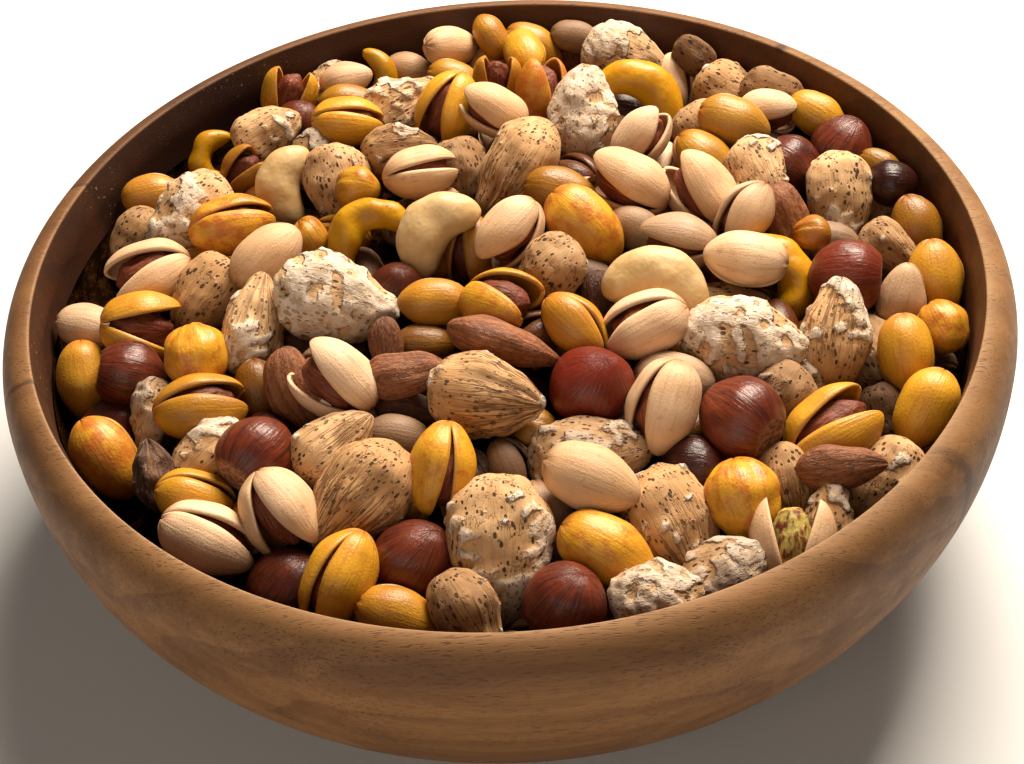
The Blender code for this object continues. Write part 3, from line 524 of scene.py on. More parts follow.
# Every nut that shows, by kind. Each row holds: x and y of its middle on the picture; its length
# in millimetres; the turn of its tip on the picture, the rise of its tip towards the eye and its
# spin about its length, in degrees; how deep it lies under the heap's top in millimetres; and then
# its looks, which are for a pistachio how far it gapes in degrees and how rusty it is; for an
# almond its share of salt, which end has more of it, and its ribs; for an almond kernel its pale
# cut and its bend; for a cashew its lumps; for a hazelnut its rough scar and its redness.
ROW_SIZE = 10
X, Y, LENGTH, TURN, NOSE, SPIN, DEPTH, LOOK, SECOND, THIRD = range(ROW_SIZE)
NUTS = {
    "pistachio": [
        (453, 47, 16, 5, -38, 20, 0, 0),
        (487, 48, 14, 130, 10, 0, 4, 6),
        (572, 38, 12, 10, 0, 0, 8, 0),
        (683, 72, 17, -88, 0, -50, 0, 8),
        (773, 114, 14.5, 5, 0, -55, 1, 22),
        (494, 111, 17, 208, 0, 50, 0, 12),
        (641, 138, 16, -50, 12, -50, 0, 14),
        (629, 188, 19.5, 205, 0, 55, 0, 20),
        (700, 193, 19.5, 230, 0, 55, 0, 20),
        (745, 214, 16, 125, 0, -40, 2, 16),
        (677, 243, 17, 184, 0, 70, 5, 18),
        (745, 263, 18, 188, 0, 20, 0, 2),
        (646, 324, 18.5, 158, 0, -50, 0, 14),
        (511, 232, 17, 128, 0, 45, 0, 20),
        (638, 228, 14, 30, 0, 0, 7, 4),
        (343, 84, 13, -15, 0, 0, 3, 3),
        (408, 70, 13, 10, 0, 0, 5, 0),
        (420, 172, 17, -12, 0, 78, 0, 9),
        (150, 274, 19, 160, 0, -55, 0, 24),
        (262, 260, 18, -42, 0, 10, 0, 3),
        (90, 327, 15, 10, 15, 0, 2, 3),
        (207, 537, 19.5, 22, 0, 55, 0, 10),
        (281, 518, 18, 62, 0, -58, 0, 28),
        (340, 382, 18.5, 214, 0, 58, 0, 30),
        (676, 378, 17, 5, 0, 0, 5, 3),
        (659, 408, 19.5, 112, 0, -50, 0, 16),
        (397, 437, 14, 10, 0, 0, 8, 0),
        (598, 484, 19.5, 22, 0, 5, 0, 2),
        (788, 540, 18, -88, 8, 90, 0, 32, 0, 1),
        (542, 526, 19, 80, 0, 0, 5, 2),
        (901, 297, 15.5, -78, 15, 0, 3, 3),
        (515, 466, 13, 60, 0, 40, 9, 20),
        (590, 277, 13, 20, 0, 0, 10, 2),
        (828, 240, 13, 5, 0, 0, 8, 2),
    ],
    "gold_pistachio": [
        (497, 33, 12.5, 240, -10, 0, 4, 2, 0.1),
        (538, 45, 16, 32, 0, 0, 5, 2, 0.1),
        (524, 54, 15, 60, 50, 0, 1, 0, 0.1),
        (828, 110, 15, 30, 10, 0, 3, 2, 0.1),
        (733, 123, 17.5, 20, 0, 0, 1, 0, -0.6),
        (706, 163, 18, 45, 0, -40, 5, 6, 0.1),
        (884, 167, 10.5, 30, 0, 0, 7, 10, 0.1),
        (918, 229, 16, 70, 0, 0, 6, 2, 0.1),
        (942, 281, 17.5, 82, 0, 0, 1, 0, -0.2),
        (575, 325, 16, 43, 10, 40, 1, 6, 0.1),
        (499, 80, 15, -90, 45, 90, 2, 26, 0.1),
        (542, 93, 17, -85, 10, -50, 1, 22, 1),
        (447, 108, 18, 115, 0, -62, 0, 24, 0.1),
        (560, 190, 16, 10, 0, 0, 6, 2, 0.1),
        (586, 228, 20.5, 45, 0, 10, 0, 0, 0.4),
        (436, 303, 15, 180, 0, 0, 2, 2, 0.1),
        (497, 301, 17, 5, 30, 35, 1, 34, 0.4),
        (424, 344, 13, 0, 0, 0, 8, 0, 0.1),
        (270, 81, 16.5, -80, 40, 88, 1, 28, 0.3),
        (346, 122, 17, 0, 0, 62, 0, 8, 0.1),
        (348, 102, 15, 0, 0, 0, 6, 2, 0.1),
        (455, 80, 14, 20, 0, 0, 5, 2, 0.1),
        (152, 194, 14, -10, 0, 0, 2, 0, 0.1),
        (231, 225, 19.5, -15, 0, 55, 0, 8, 0.6),
        (244, 172, 14, -60, 45, 60, 4, 20, 0.2),
        (140, 329, 17, 5, 0, 88, 0, 34, 0.1),
        (86, 382, 17, 85, 0, 20, 1, 4, -0.2),
        (196, 414, 19, -10, 0, 55, 3, 14, 0),
        (107, 458, 19, 55, 0, 25, 0, 4, 0.6),
        (193, 497, 16, 10, 0, 45, 2, 8, 0.1),
        (904, 358, 17.5, 85, 0, 0, 1, 0, -0.1),
        (930, 410, 18, 117, 0, 10, 0, 2, 0),
        (831, 431, 20.5, -38, 0, 62, 0, 22, -0.2),
        (438, 470, 18.5, 97, 0, 75, 0, 10, 0.3),
        (684, 442, 16, 128, 0, 0, 9, 3, 0.1),
        (341, 578, 19.5, 118, 0, -58, 0, 8, 0.2),
        (398, 614, 16, 18, 0, 0, 3, 2, 0.1),
        (606, 551, 20, 30, 0, 10, 0, 0, 0.3),
        (258, 392, 14, 80, 0, 0, 8, 0, 0.1),
        (468, 250, 16, 95, 0, -60, 6, 20, 0.1),
    ],
    "almond": [
        (625, 58, 20.5, 18, 0, 0, 2, 0.7, -1, 0.2),
        (709, 62, 14, 40, 0, 40, 8, 0.1, 0, 0.2),
        (727, 87, 19, 35, 0, 0, 1, 0.2, 0, 0.2),
        (776, 91, 17, 12, 0, 30, 5, 0.1, 0, 0.2),
        (705, 133, 19.5, 48, 0, 10, 3, 0.1, 0, 0.1),
        (757, 172, 18, 60, 30, 0, 1, 0.5, 0, 0.3),
        (843, 197, 21.5, 84, 0, -25, 0, 0.4, 0.5, 0.2),
        (884, 207, 17, 118, 0, 10, 4, 0.1, 0, 0.5),
        (889, 248, 15, 42, 0, 20, 3, 0.1, 0, 0.6),
        (585, 118, 22.5, -88, 0, -20, 0, 0.9, 0, 0.3),
        (608, 145, 17, 100, 0, 0, 9, 0.2, 0, 0.2),
        (463, 173, 17, 80, 0, 0, 5, 0.1, 0, 0.3),
        (514, 171, 27, 122, 0, 62, 0, 0.15, 0, 0.9),
        (549, 273, 19, 130, -20, 20, 3, 0.4, 0, 0.2),
        (267, 134, 17, -30, 0, 0, 1, 0.2, 0, 0.2),
        (326, 80, 13, -60, 0, 0, 3, 0.8, 0, 0.1),
        (400, 107, 19, -30, 0, 0, 1, 0.6, 0, 0.5),
        (398, 152, 18, -8, 0, 30, 2, 0.4, 0, 0.9),
        (337, 187, 20.5, 75, 0, 0, 1, 0.35, 0, 0.1),
        (312, 158, 14, -80, 0, 0, 5, 0.7, 0, 0.1),
        (191, 215, 22.5, 135, 0, 10, 0, 0.6, 0.6, 0.1),
        (139, 237, 16, 130, 0, 0, 4, 0.1, 0, 0.1),
        (155, 410, 15, 100, 0, 60, 5, 0.8, 0, 0.1),
        (207, 453, 19, 140, 0, 10, 1, 0.6, -1, 0.2),
        (335, 300, 25.5, 15, 0, 10, 0, 0.8, 0, 0.1),
        (255, 328, 22.5, -80, 0, 50, 0, 0.6, -1, 0.6),
        (211, 292, 19.5, 130, 0, 0, 1, 0.1, 0, 0.2),
        (480, 398, 23.5, 8, 20, 10, 0, 0.2, 0, 1),
        (748, 353, 24.5, 5, 0, 10, 0, 0.75, 0, 0.1),
        (727, 309, 18, -10, 0, 0, 7, 0.2, 0, 0.1),
        (832, 348, 22.5, -82, 0, 30, 0, 0.4, 1, 0.8),
        (872, 352, 21.5, 56, 0, -30, 4, 0.1, 0, 0.3),
        (883, 482, 19.5, 122, 0, 0, 1, 0.2, 0, 0.1),
        (829, 516, 14, -80, 0, 20, 4, 0.7, 0, 0.1),
        (796, 375, 14, 80, 0, 0, 5, 0.9, 0, 0.1),
        (776, 396, 17, 120, 0, 0, 6, 0.2, 0, 0.2),
        (885, 417, 16, 80, 0, 0, 10, 0, 0, 0.2),
        (935, 362, 15, 10, 0, 0, 9, 0, 0, 0.2),
        (334, 450, 18.5, -42, 0, 0, 1, 0.2, 0, 0.7),
        (364, 495, 24.5, 133, 0, 0, 0, 0.1, 0, 1),
        (585, 456, 23.5, -12, 0, 0, 5, 0.7, -0.5, 0.1),
        (676, 520, 25.5, 62, 0, 0, 0, 0.25, -0.8, 0.7),
        (783, 484, 19, 75, 0, 30, 3, 0.1, 0, 0.9),
        (725, 573, 17, -30, 0, 0, 4, 0.9, 0, 0.1),
        (494, 546, 27.5, 88, 0, 0, 0, 0.65, 1, 0.1),
        (464, 612, 18, 60, 0, 20, 4, 0.2, 0, 0.7),
        (655, 596, 17, -10, 0, 0, 2, 0.7, 0, 0.1),
    ],
    "almond_kernel": [
        (570, 57, 15, 30, 0, 0, 5, 0, 0),
        (789, 222, 18, 68, 0, 0, 1, 0, 0),
        (502, 343, 23.5, 17, 0, 78, 0, 0, 0),
        (388, 348, 13, 85, 0, 0, 5, 0, 0),
        (298, 392, 19.5, 65, 0, 20, 0, 0, 1),
        (404, 377, 17, -10, 0, 0, 1, 1, 0),
        (837, 474, 17, -5, 0, 20, 1, 0, 0),
        (408, 411, 15, 10, 0, 0, 8, 0, 0),
        (601, 305, 15, 85, 0, 0, 9, 0, 0),
    ],
    "cashew": [
        (283, 186, 19.5, -85, 0, 0, 0, 0),
        (430, 235, 21.5, -50, 0, 0, 0, 0),
        (661, 281, 23.5, 18, 0, 0, 0, 0),
    ],
    "gold_cashew": [
        (650, 100, 24.5, 42, 0, 0, 0, 0.2),
        (790, 277, 22.5, 68, 0, 0, 0, 0.5),
        (380, 78, 15, 95, 0, 0, 3, 0),
        (208, 157, 14.5, -80, 0, 0, 3, 0.8),
        (363, 228, 20, -35, 0, 0, 1, 1),
    ],
    "hazelnut": [
        (841, 144, 15.5, -60, 20, 0, 1, 0, 0),
        (790, 167, 15, 40, 0, 0, 3, 0, 0),
        (888, 184, 11.5, 0, 0, 0, 10, 0, 0),
        (843, 281, 16.5, 182, 0, 0, 0, 1, 0.4),
        (297, 123, 13, -70, 30, 0, 4, 0, 0),
        (397, 287, 14, -70, 40, 0, 6, 0, 0),
        (130, 384, 15, 10, 0, 0, 3, 0.2, 0),
        (117, 424, 16, -70, 40, 0, 6, 0, 0),
        (256, 456, 16.5, -45, -25, 0, 0, 1, 0),
        (287, 580, 16, -60, 30, 0, 4, 0, 0),
        (592, 388, 18, -60, 50, 0, 0, 0, 1),
        (742, 428, 17.5, 215, -25, 0, 0, 1, 0),
        (419, 556, 16.5, -50, 35, 0, 2, 0, 0),
        (567, 602, 16.5, -60, 40, 0, 1, 0, 0),
        (698, 464, 14, 0, 20, 0, 8, 0, 0),
        (628, 112, 14, 0, 20, 0, 8, 0, 0),
    ],
    "gold_hazelnut": [
        (946, 328, 12, 60, 20, 0, 1),
        (812, 233, 8.5, 0, 0, 0, 4),
        (357, 188, 10.5, 0, 30, 0, 3),
        (309, 240, 9.5, 60, 0, 0, 4),
        (197, 357, 14.5, 80, 10, 0, 0),
        (538, 432, 10, 10, 0, 0, 7),
        (736, 505, 16, 78, 10, 0, 0),
    ],
    "husk": [
        (158, 474, 13, 80, 0, 0, 2),
        (471, 467, 9.5, 80, 0, 0, 8),
    ],
}


def heap_top(place):
    """Height of the heap's top: a crown that falls with the square of the radius."""
    square = place[..., 0] ** 2 + place[..., 1] ** 2
    return HEIGHT + CROWN - CROWN_FALL * square + CROWN_TILT * place[..., 1]


def nut_axes(rows, sight):
    """Each nut's own axes as columns: its length, its width and its thickness."""
    turns, noses, spins = (np.radians(rows[:, column])[:, None] for column in (TURN, NOSE, SPIN))
    toward = -sight
    along = np.cos(turns) * right - np.sin(turns) * up
    along -= (along * toward).sum(1)[:, None] * toward
    along /= np.linalg.norm(along, axis=1)[:, None]
    side = np.cross(toward, along)
    length = np.cos(noses) * along + np.sin(noses) * toward
    face = np.cos(noses) * toward - np.sin(noses) * along
    width = np.cos(spins) * side + np.sin(spins) * face
    thickness = np.cos(spins) * face - np.sin(spins) * side
    return np.stack([length, width, thickness], 2)


def outward(place):
    """Level unit vectors from the bowl's axis, and the radius of each place."""
    radius = np.hypot(place[..., 0], place[..., 1])
    away = np.zeros(place.shape)
    away[..., 0] = place[..., 0] / radius
    away[..., 1] = place[..., 1] / radius
    return away, radius


def first_places(rows, sight, spread):
    """Where each sight line first dips a nut's height under the heap's top, inside the wall."""
    reach = np.linspace(REACH_NEAR, REACH_FAR, REACH_STEPS)
    path = eye + sight[:, None] * reach[:, None]
    away, radius = outward(path)
    across = np.sqrt(np.einsum("nti,nij,ntj->nt", away, spread, away))
    rise = np.sqrt(spread[:, 2, 2])[:, None]
    depth = rows[:, DEPTH, None] * MM
    within = radius + across <= inner_radius(path[..., 2]) - HEAP_GAP
    low = path[..., 2] <= heap_top(path) - rise - depth
    both = within & low
    last = REACH_STEPS - 1 - within[:, ::-1].argmax(1)
    fallback = np.where(within.any(1), last, low.argmax(1))
    step = np.where(both.any(1), both.argmax(1), fallback)
    return path[np.arange(len(rows)), step]


def settle(home, sight, spread, inverse):
    """Pushes nuts apart, mostly along their sight lines, and keeps them inside the wall.

    Two nuts touch where their distance equals the sum of their sizes along the line between them;
    a size is part the support and part the radius of its ellipsoid.
    """
    place = home.copy()
    count = len(home)
    rise = np.sqrt(spread[:, 2, 2])
    itself = np.arange(count)
    for _ in range(SETTLE_STEPS):
        apart = place[None] - place[:, None]
        distance = np.linalg.norm(apart, axis=2) + np.eye(count)
        line = apart / distance[:, :, None]
        line[itself, itself] = (0.0, 0.0, 1.0)
        reach = np.sqrt(np.einsum("ijk,ikl,ijl->ij", line, spread, line))
        radius = 1.0 / np.sqrt(np.einsum("ijk,ikl,ijl->ij", line, inverse, line))
        size = ROUND_SHARE * reach + (1.0 - ROUND_SHARE) * radius
        overlap = np.clip(size + size.T - distance, 0.0, SETTLE_LIMIT)
        overlap[itself, itself] = 0.0
        push = -SETTLE_PUSH * (line * overlap[:, :, None]).sum(1)
        push_along = (push * sight).sum(1)[:, None] * sight
        moved = place - home
        moved_along = (moved * sight).sum(1)[:, None] * sight
        place = place + push_along - SETTLE_PULL_ALONG * moved_along
        place = place + SETTLE_SIDEWAYS * (push - push_along) - SETTLE_PULL_SIDE * (moved - moved_along)
        proud = np.clip(place[:, 2] + rise - heap_top(place) - SETTLE_PROUD, 0.0, None)
        place = place - SETTLE_PUSH * (proud / sight[:, 2])[:, None] * sight
        away, from_axis = outward(place)
        across = np.sqrt(np.einsum("ni,nij,nj->n", away, spread, away))
        over = from_axis + across - (inner_radius(place[:, 2]) - HEAP_GAP)
        place = place - np.clip(over, 0.0, None)[:, None] * away
    return place


def lying_axes(draw):
    """Axes of a nut that lies nearly level, turned and spun at random."""
    turned = draw.uniform(0.0, 2.0 * np.pi)
    tilt = np.radians(draw.uniform(-FILL_TILT, FILL_TILT))
    spun = draw.uniform(0.0, 2.0 * np.pi)
    length = np.array([np.cos(turned) * np.cos(tilt), np.sin(turned) * np.cos(tilt), np.sin(tilt)])
    flat = np.array([-np.sin(turned), np.cos(turned), 0.0])
    width = np.cos(spun) * flat + np.sin(spun) * np.cross(length, flat)
    return np.stack([length, width, np.cross(length, width)], 1)


def most_overlap(middle, own_axes, size, middles, axes, half):
    """The deepest overlap of one nut with the others, all taken as ellipsoids."""
    apart = middles - middle
    distance = np.linalg.norm(apart, axis=1)
    line = apart / distance[:, None]
    own = 1.0 / np.linalg.norm((line @ own_axes) / size, axis=1)
    theirs = 1.0 / np.linalg.norm(np.einsum("ni,nij->nj", line, axes) / half, axis=1)
    return float((own + theirs - distance).max())


def in_the_way(middle, size, shown_middles, shown_half):
    """Whether a nut stands between the eye and one of the nuts that show, both taken as balls."""
    look = (middle - eye) / np.linalg.norm(middle - eye)
    apart = shown_middles - middle
    behind = apart @ look
    across = np.linalg.norm(apart - behind[:, None] * look, axis=1)
    touch = FILL_COVER * (size.mean() + shown_half.mean(1))
    return bool(((behind > 0.0) & (across < touch)).any())


def fill_gaps(kinds, rows, middles, axes, half):
    """Nuts along a spiral, each as high as it fits between those that are there already."""
    draw = np.random.default_rng(FILL_SEED)
    shown_middles, shown_half = middles, half
    for number in range(FILL_TRIES):
        kind, length = FILL_KINDS[number % len(FILL_KINDS)]
        length *= draw.uniform(1.0 - FILL_LENGTH_SPREAD, 1.0 + FILL_LENGTH_SPREAD)
        own_axes = lying_axes(draw)
        size = np.array([0.5, *FORM[kind]]) * length * MM
        radius = FILL_RADIUS * ((number + 0.5) / FILL_TRIES) ** 0.5
        angle = number * GOLDEN_ANGLE
        rise = np.linalg.norm(own_axes[2] * size)
        for depth in FILL_DEPTHS:
            middle = np.array([radius * np.cos(angle), radius * np.sin(angle), 0.0])
            middle[2] = float(heap_top(middle)) - rise - depth * MM
            if most_overlap(middle, own_axes, size, middles, axes, half) > FILL_OVERLAP:
                continue
            if in_the_way(middle, size, shown_middles, shown_half):
                continue
            row = np.zeros(ROW_SIZE)
            row[LENGTH] = length
            row[DEPTH] = depth
            kinds = kinds + [kind]
            rows = np.vstack([rows, row])
            middles = np.vstack([middles, middle])
            axes = np.concatenate([axes, own_axes[None]])
            half = np.vstack([half, size])
            break
    return kinds, rows, middles, axes, half


nut_kinds = [kind for kind, listed in NUTS.items() for _ in listed]
given_rows = [row for listed in NUTS.values() for row in listed]
nut_rows = np.array([row + (0,) * (ROW_SIZE - len(row)) for row in given_rows], float)
shown_count = len(nut_rows)
sight = ahead * VIEW_FOCUS
sight = sight + np.outer(nut_rows[:, X] - PICTURE_WIDTH / 2, right)
sight = sight - np.outer(nut_rows[:, Y] - PICTURE_HEIGHT / 2, up)
sight /= np.linalg.norm(sight, axis=1)[:, None]
nut_turns = nut_axes(nut_rows, sight)
nut_half = np.array([(0.5, *FORM[kind]) for kind in nut_kinds]) * nut_rows[:, LENGTH, None] * MM
nut_spread = np.einsum("nij,nj,nkj->nik", nut_turns, nut_half ** 2, nut_turns)
nut_inverse = np.einsum("nij,nj,nkj->nik", nut_turns, nut_half ** -2.0, nut_turns)
nut_home = first_places(nut_rows, sight, nut_spread)
nut_middles = settle(nut_home, sight, nut_spread, nut_inverse)
nut_kinds, nut_rows, nut_middles, nut_turns, nut_half = fill_gaps(
    nut_kinds, nut_rows, nut_middles, nut_turns, nut_half
)
nut_kinds = np.array(nut_kinds)
nut_tones = np.random.default_rng(FILL_SEED).uniform(0.0, 1.0, len(nut_kinds))


# The pistachios: two thin cream shells that are hinged at the stem and have split open at the tip,
# round a wrinkled kernel in a red-brown skin. The plain ones are dry and satin smooth.
PISTACHIO_TAPER = 0.08
PISTACHIO_POINT = 0.05
TIP_POWER = 6
# Points along a shell, then round its outside and its inside
SHELL_GRID = (30, 22, 10)
SHELL_GAP_GRID = (12, 10, 5)
GAP_GAPE = 22.0
SHELL_THICKNESS = 0.85 * MM
SHELL_WAVE = 0.16 * MM
STEM_RIDGES = 7.0
STEM_RIDGE = 0.16 * MM
RIM_WIDTH = 0.10
KERNEL_SIZE = (0.80, 0.80, 0.76)
# Points along and round a kernel
KERNEL_GRID = (18, 20)
KERNEL_WRINKLE = 0.35 * MM
SHELL_PALE = (0.73, 0.500, 0.320)
SHELL_CREAM = (0.62, 0.375, 0.195)
SHELL_BROWN = (0.33, 0.145, 0.055)
SHELL_LIP = (0.68, 0.44, 0.26)
KERNEL_RED = (0.140, 0.030, 0.012)
KERNEL_PALE = (0.310, 0.098, 0.034)
KERNEL_GREEN = (0.40, 0.31, 0.075)
OWN_SPREAD = 400.0
# A nut that lies deep is painted darker, as painted shade, and at DEEPEST millimetres or more it
# takes all of DEEP_SHADE. One in a gap takes its tone's share of GAP_DEPTH. The underside of each
# nut is painted a share of the shade too, all of that at UNDERSIDE_DROP millimetres below its middle.
DEEP_SHADE = (0.17, 0.125, 0.10)
DEEPEST = 10.0
GAP_DEPTH = 25.0
UNDERSIDE = 0.65
UNDERSIDE_DROP = 7.0


def ball(stations, around):
    """Points of a unit ball's rings: minus the cosine along, the sine across and through."""
    polar = np.pi * (np.arange(stations) + 0.5) / stations
    angle = 2.0 * np.pi * np.arange(around) / around
    along = np.repeat(-np.cos(polar)[:, None], around, 1)
    side = np.sin(polar)[:, None] * np.cos(angle)
    face = np.sin(polar)[:, None] * np.sin(angle)
    return np.stack([along, side, face], -1)


def egg(unit, taper, point):
    """A ball narrowed by 1 - taper * share towards its tip, which is drawn out by a sixth power."""
    share = unit[..., :1]
    long = share + point * np.clip(share, 0.0, 1.0) ** TIP_POWER
    return np.concatenate([long, unit[..., 1:] * (1.0 - taper * share)], -1)


def ripples(points, length, seed):
    """Smooth bumps about a length apart: a sum of nine cosine waves in random directions."""
    draw = np.random.default_rng(seed)
    ways = draw.normal(size=(9, 3))
    ways /= np.linalg.norm(ways, axis=1)[:, None]
    phases = points @ ways.T * (2.0 * np.pi / length) + draw.uniform(0.0, 2.0 * np.pi, 9)
    return np.cos(phases).sum(-1) / 3.0


def ramp(value, low, high):
    """A smooth step: 3 t^2 - 2 t^3 of the clipped share of the way from low to high."""
    share = np.clip((value - low) / (high - low), 0.0, 1.0)
    return share * share * (3.0 - 2.0 * share)


def picked(kind, shown):
    """Numbers of the nuts of a kind: those that were set out, or those that fill the gaps."""
    numbers = np.flatnonzero(nut_kinds == kind)
    return numbers[(numbers < shown_count) == shown]


def apart(numbers):
    """A far offset for each nut, so that no two share a pattern. In millimetres."""
    draw = np.random.default_rng(numbers.tolist())
    return draw.uniform(-OWN_SPREAD, OWN_SPREAD, (len(numbers), 1, 1, 3))


def column(numbers, number, otherwise=0.0):
    """A look of each nut, shaped to spread over its rings. Gap nuts take a share of their tone."""
    given = nut_rows[numbers, number]
    drawn = nut_tones[numbers] * otherwise
    return np.where(numbers < shown_count, given, drawn)[:, None, None]


def laid(numbers, local):
    """Points in each nut's own frame, brought to its place in the bowl."""
    turned = np.einsum("nij,nabj->nabi", nut_turns[numbers], local)
    return turned + nut_middles[numbers][:, None, None, :]


def grid(numbers, stations, around):
    """Points of a unit ball, and each nut's half sizes shaped to spread over them."""
    return ball(stations, around), nut_half[numbers][:, None, None, :]


def even(value, local):
    """A value spread over every point of its nut."""
    return value + np.zeros(local.shape[:3])


def out_of(unit, half):
    """Outward directions on an ellipsoid: its points divided by its half sizes, at length one."""
    away = unit / half
    return away / np.linalg.norm(away, axis=-1, keepdims=True)


def patterns(numbers, unit, local):
    """What every finish reads: own place and lengthwise stripes in mm, share, tone, painted shade by
    depth.
    """
    offset = apart(numbers)
    ring = np.hypot(unit[..., 1], unit[..., 2])[..., None] + 1e-9
    width = nut_half[numbers, 1][:, None, None, None] / MM
    length = local[..., :1] / MM
    round_it = np.broadcast_to(unit[..., 1:] / ring, (*local.shape[:3], 2)) * width
    stripes = np.concatenate([0.10 * length, round_it], -1)
    # Painted shade: darker where a nut lies deep and towards the underside of each nut.
    below = (nut_middles[numbers, 2, None, None] - laid(numbers, local)[..., 2]) / MM
    listed = (column(numbers, DEPTH, GAP_DEPTH) / DEEPEST).clip(0.0, 1.0)
    return {
        "own": local / MM + offset,
        "stripes": stripes + offset,
        "share": even(unit[..., 0], local),
        "tone": even(nut_tones[numbers][:, None, None], local),
        "deep": 1.0 - (1.0 - listed) * (1.0 - UNDERSIDE * ramp(below, 0.0, UNDERSIDE_DROP)),
    }


def shells(numbers, stations, outside, inside):
    """Both half shells of each nut: a half egg, its edge, and back inside it, hinged at the stem.

    Each ring goes round the outside from 0 to 180 degrees and back along the inside, which is the
    outside less the shell's thickness. A half turns by half of the gape about the stem's end.
    """
    polar = np.pi * (np.arange(stations) + 0.5) / stations
    angle = np.concatenate([np.linspace(0.0, np.pi, outside), np.linspace(np.pi, 0.0, inside)])
    within = np.concatenate([np.zeros(outside), np.ones(inside)])
    unit = np.stack(
        [
            np.repeat(-np.cos(polar)[:, None], len(angle), 1),
            np.sin(polar)[:, None] * np.cos(angle),
            np.sin(polar)[:, None] * np.sin(angle),
        ],
        -1,
    )
    half = nut_half[numbers][:, None, None, :]
    shape = egg(unit, PISTACHIO_TAPER, PISTACHIO_POINT) * half
    shape = shape - within[:, None] * SHELL_THICKNESS * out_of(unit, half)
    own = shape / MM + apart(numbers)
    bulge = ripples(own, 9.0, 3)[..., None] * SHELL_WAVE * (1.0 - within[:, None])
    stem = ramp(-unit[..., 0], 0.80, 1.0)[..., None]
    ridges = np.cos(STEM_RIDGES * angle)[None, :, None] * stem * STEM_RIDGE
    shape = shape + (bulge + ridges) * out_of(unit, half)
    gape = np.radians(column(numbers, LOOK, GAP_GAPE)) / 2.0
    from_hinge = shape[..., 0] + half[..., 0]
    swung_x = from_hinge * np.cos(gape) - shape[..., 2] * np.sin(gape) - half[..., 0]
    swung_z = from_hinge * np.sin(gape) + shape[..., 2] * np.cos(gape)
    upper = np.stack([swung_x, shape[..., 1], swung_z], -1)
    lower = upper * (1.0, -1.0, -1.0)
    rim = np.exp(-((np.minimum(angle, np.pi - angle) / RIM_WIDTH) ** 2))
    blocks = []
    for sign, local in ((1.0, upper), (-1.0, lower)):
        looks = patterns(numbers, unit * (1.0, sign, sign), local)
        looks["within"] = even(within, local)
        looks["rim"] = even(rim, local)
        looks["rust"] = even(column(numbers, SECOND, 1.0), local)
        blocks.append((laid(numbers, local), looks))
    return blocks


def kernels(numbers, stations, around):
    """The wrinkled kernel inside each pair of shells."""
    unit, half = grid(numbers, stations, around)
    half = half * KERNEL_SIZE
    local = egg(unit, PISTACHIO_TAPER, 0.0) * half
    own = local / MM + apart(numbers)
    wrinkle = ripples(own * (0.5, 1.0, 1.0), 3.2, 5)[..., None] * KERNEL_WRINKLE
    local = local + wrinkle * out_of(unit, half)
    looks = patterns(numbers, unit, local)
    looks["bare"] = even(column(numbers, THIRD), local)
    return laid(numbers, local), looks


class NutFinish(Finish):
    """A finish whose colour is darkened by painted shade where a nut lies deep and on its underside."""

    def colour(self, value):
        # Painted shade: the colour is multiplied towards DEEP_SHADE where the nut lies deep.
        super().colour(self.mix(self.read("deep"), value, DEEP_SHADE, "MULTIPLY"))


def placed(name, blocks, finish):
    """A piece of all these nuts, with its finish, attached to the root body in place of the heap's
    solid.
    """
    made = closed(name, blocks)
    made.data.materials.append(finish.material)
    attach(made, "root")
    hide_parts("nut_heap")


def both_layers(form, kind, fine, coarse):
    """The nuts of a kind that were set out, on a fine grid, and those in the gaps on a coarse one."""
    return [form(picked(kind, True), *fine), form(picked(kind, False), *coarse)]


def shell_blocks(kind):
    """Both half shells of every pistachio of a kind."""
    fine, coarse = both_layers(shells, kind, SHELL_GRID, SHELL_GAP_GRID)
    return fine + coarse


pale = NutFinish("plain_shell", 0.54, Specular_IOR_Level=0.32)
own = pale.read("own", "Vector")
stripes = pale.read("stripes", "Vector")
tone = pale.read("tone")
cloud = pale.noise(own, 0.16, 2.0)
streak = pale.noise(stripes, 1.1, 3.0, 0.6)
colour = pale.mix((cloud * 1.3 + tone * 0.7 - 0.5).rise(0.0, 1.0), SHELL_PALE, SHELL_CREAM)
stem_share = pale.read("share").rise(-0.72, -1.0)
blotch = pale.noise(own, 0.55, 3.0).rise(0.58, 0.78)
fleck = pale.noise(own, 2.2, 2.0).rise(0.60, 0.78)
marks = blotch * 0.35 + stem_share * 0.6 + streak.rise(0.48, 0.75) * 0.32 + fleck * 0.22
colour = pale.mix(marks, colour, SHELL_BROWN)
lip_share = pale.read("rim")
colour = pale.mix(lip_share * 0.7, colour, SHELL_LIP)
pale.colour(pale.mix(pale.read("within") * 0.55 * (1.0 - lip_share), colour, SHELL_BROWN))
pale.normal(pale.bump(streak * 0.7 + pale.noise(own, 2.4, 3.0) * 0.5, 0.00020))
placed("pistachio_shells", shell_blocks("pistachio"), pale)

kernel = NutFinish("pistachio_skin", 0.55, Specular_IOR_Level=0.3)
own = kernel.read("own", "Vector")
wrinkle = kernel.noise(kernel.stretch(own, (0.4, 1.0, 1.0)), 0.9, 3.0)
lines = kernel.noise(kernel.read("stripes", "Vector"), 1.6, 3.0)
skin = kernel.mix(lines.rise(0.50, 0.72) * 0.8, KERNEL_RED, KERNEL_PALE)
skin = kernel.mix(wrinkle.rise(0.55, 0.75) * 0.6, skin, KERNEL_RED)
kernel.colour(kernel.mix(kernel.read("bare") * wrinkle.rise(0.62, 0.45), skin, KERNEL_GREEN))
kernel.normal(kernel.bump(wrinkle, 0.0006))
kernel_blocks = [kernels(picked(kind, True), *KERNEL_GRID) for kind in ("pistachio", "gold_pistachio")]
placed("pistachio_kernels", kernel_blocks, kernel)


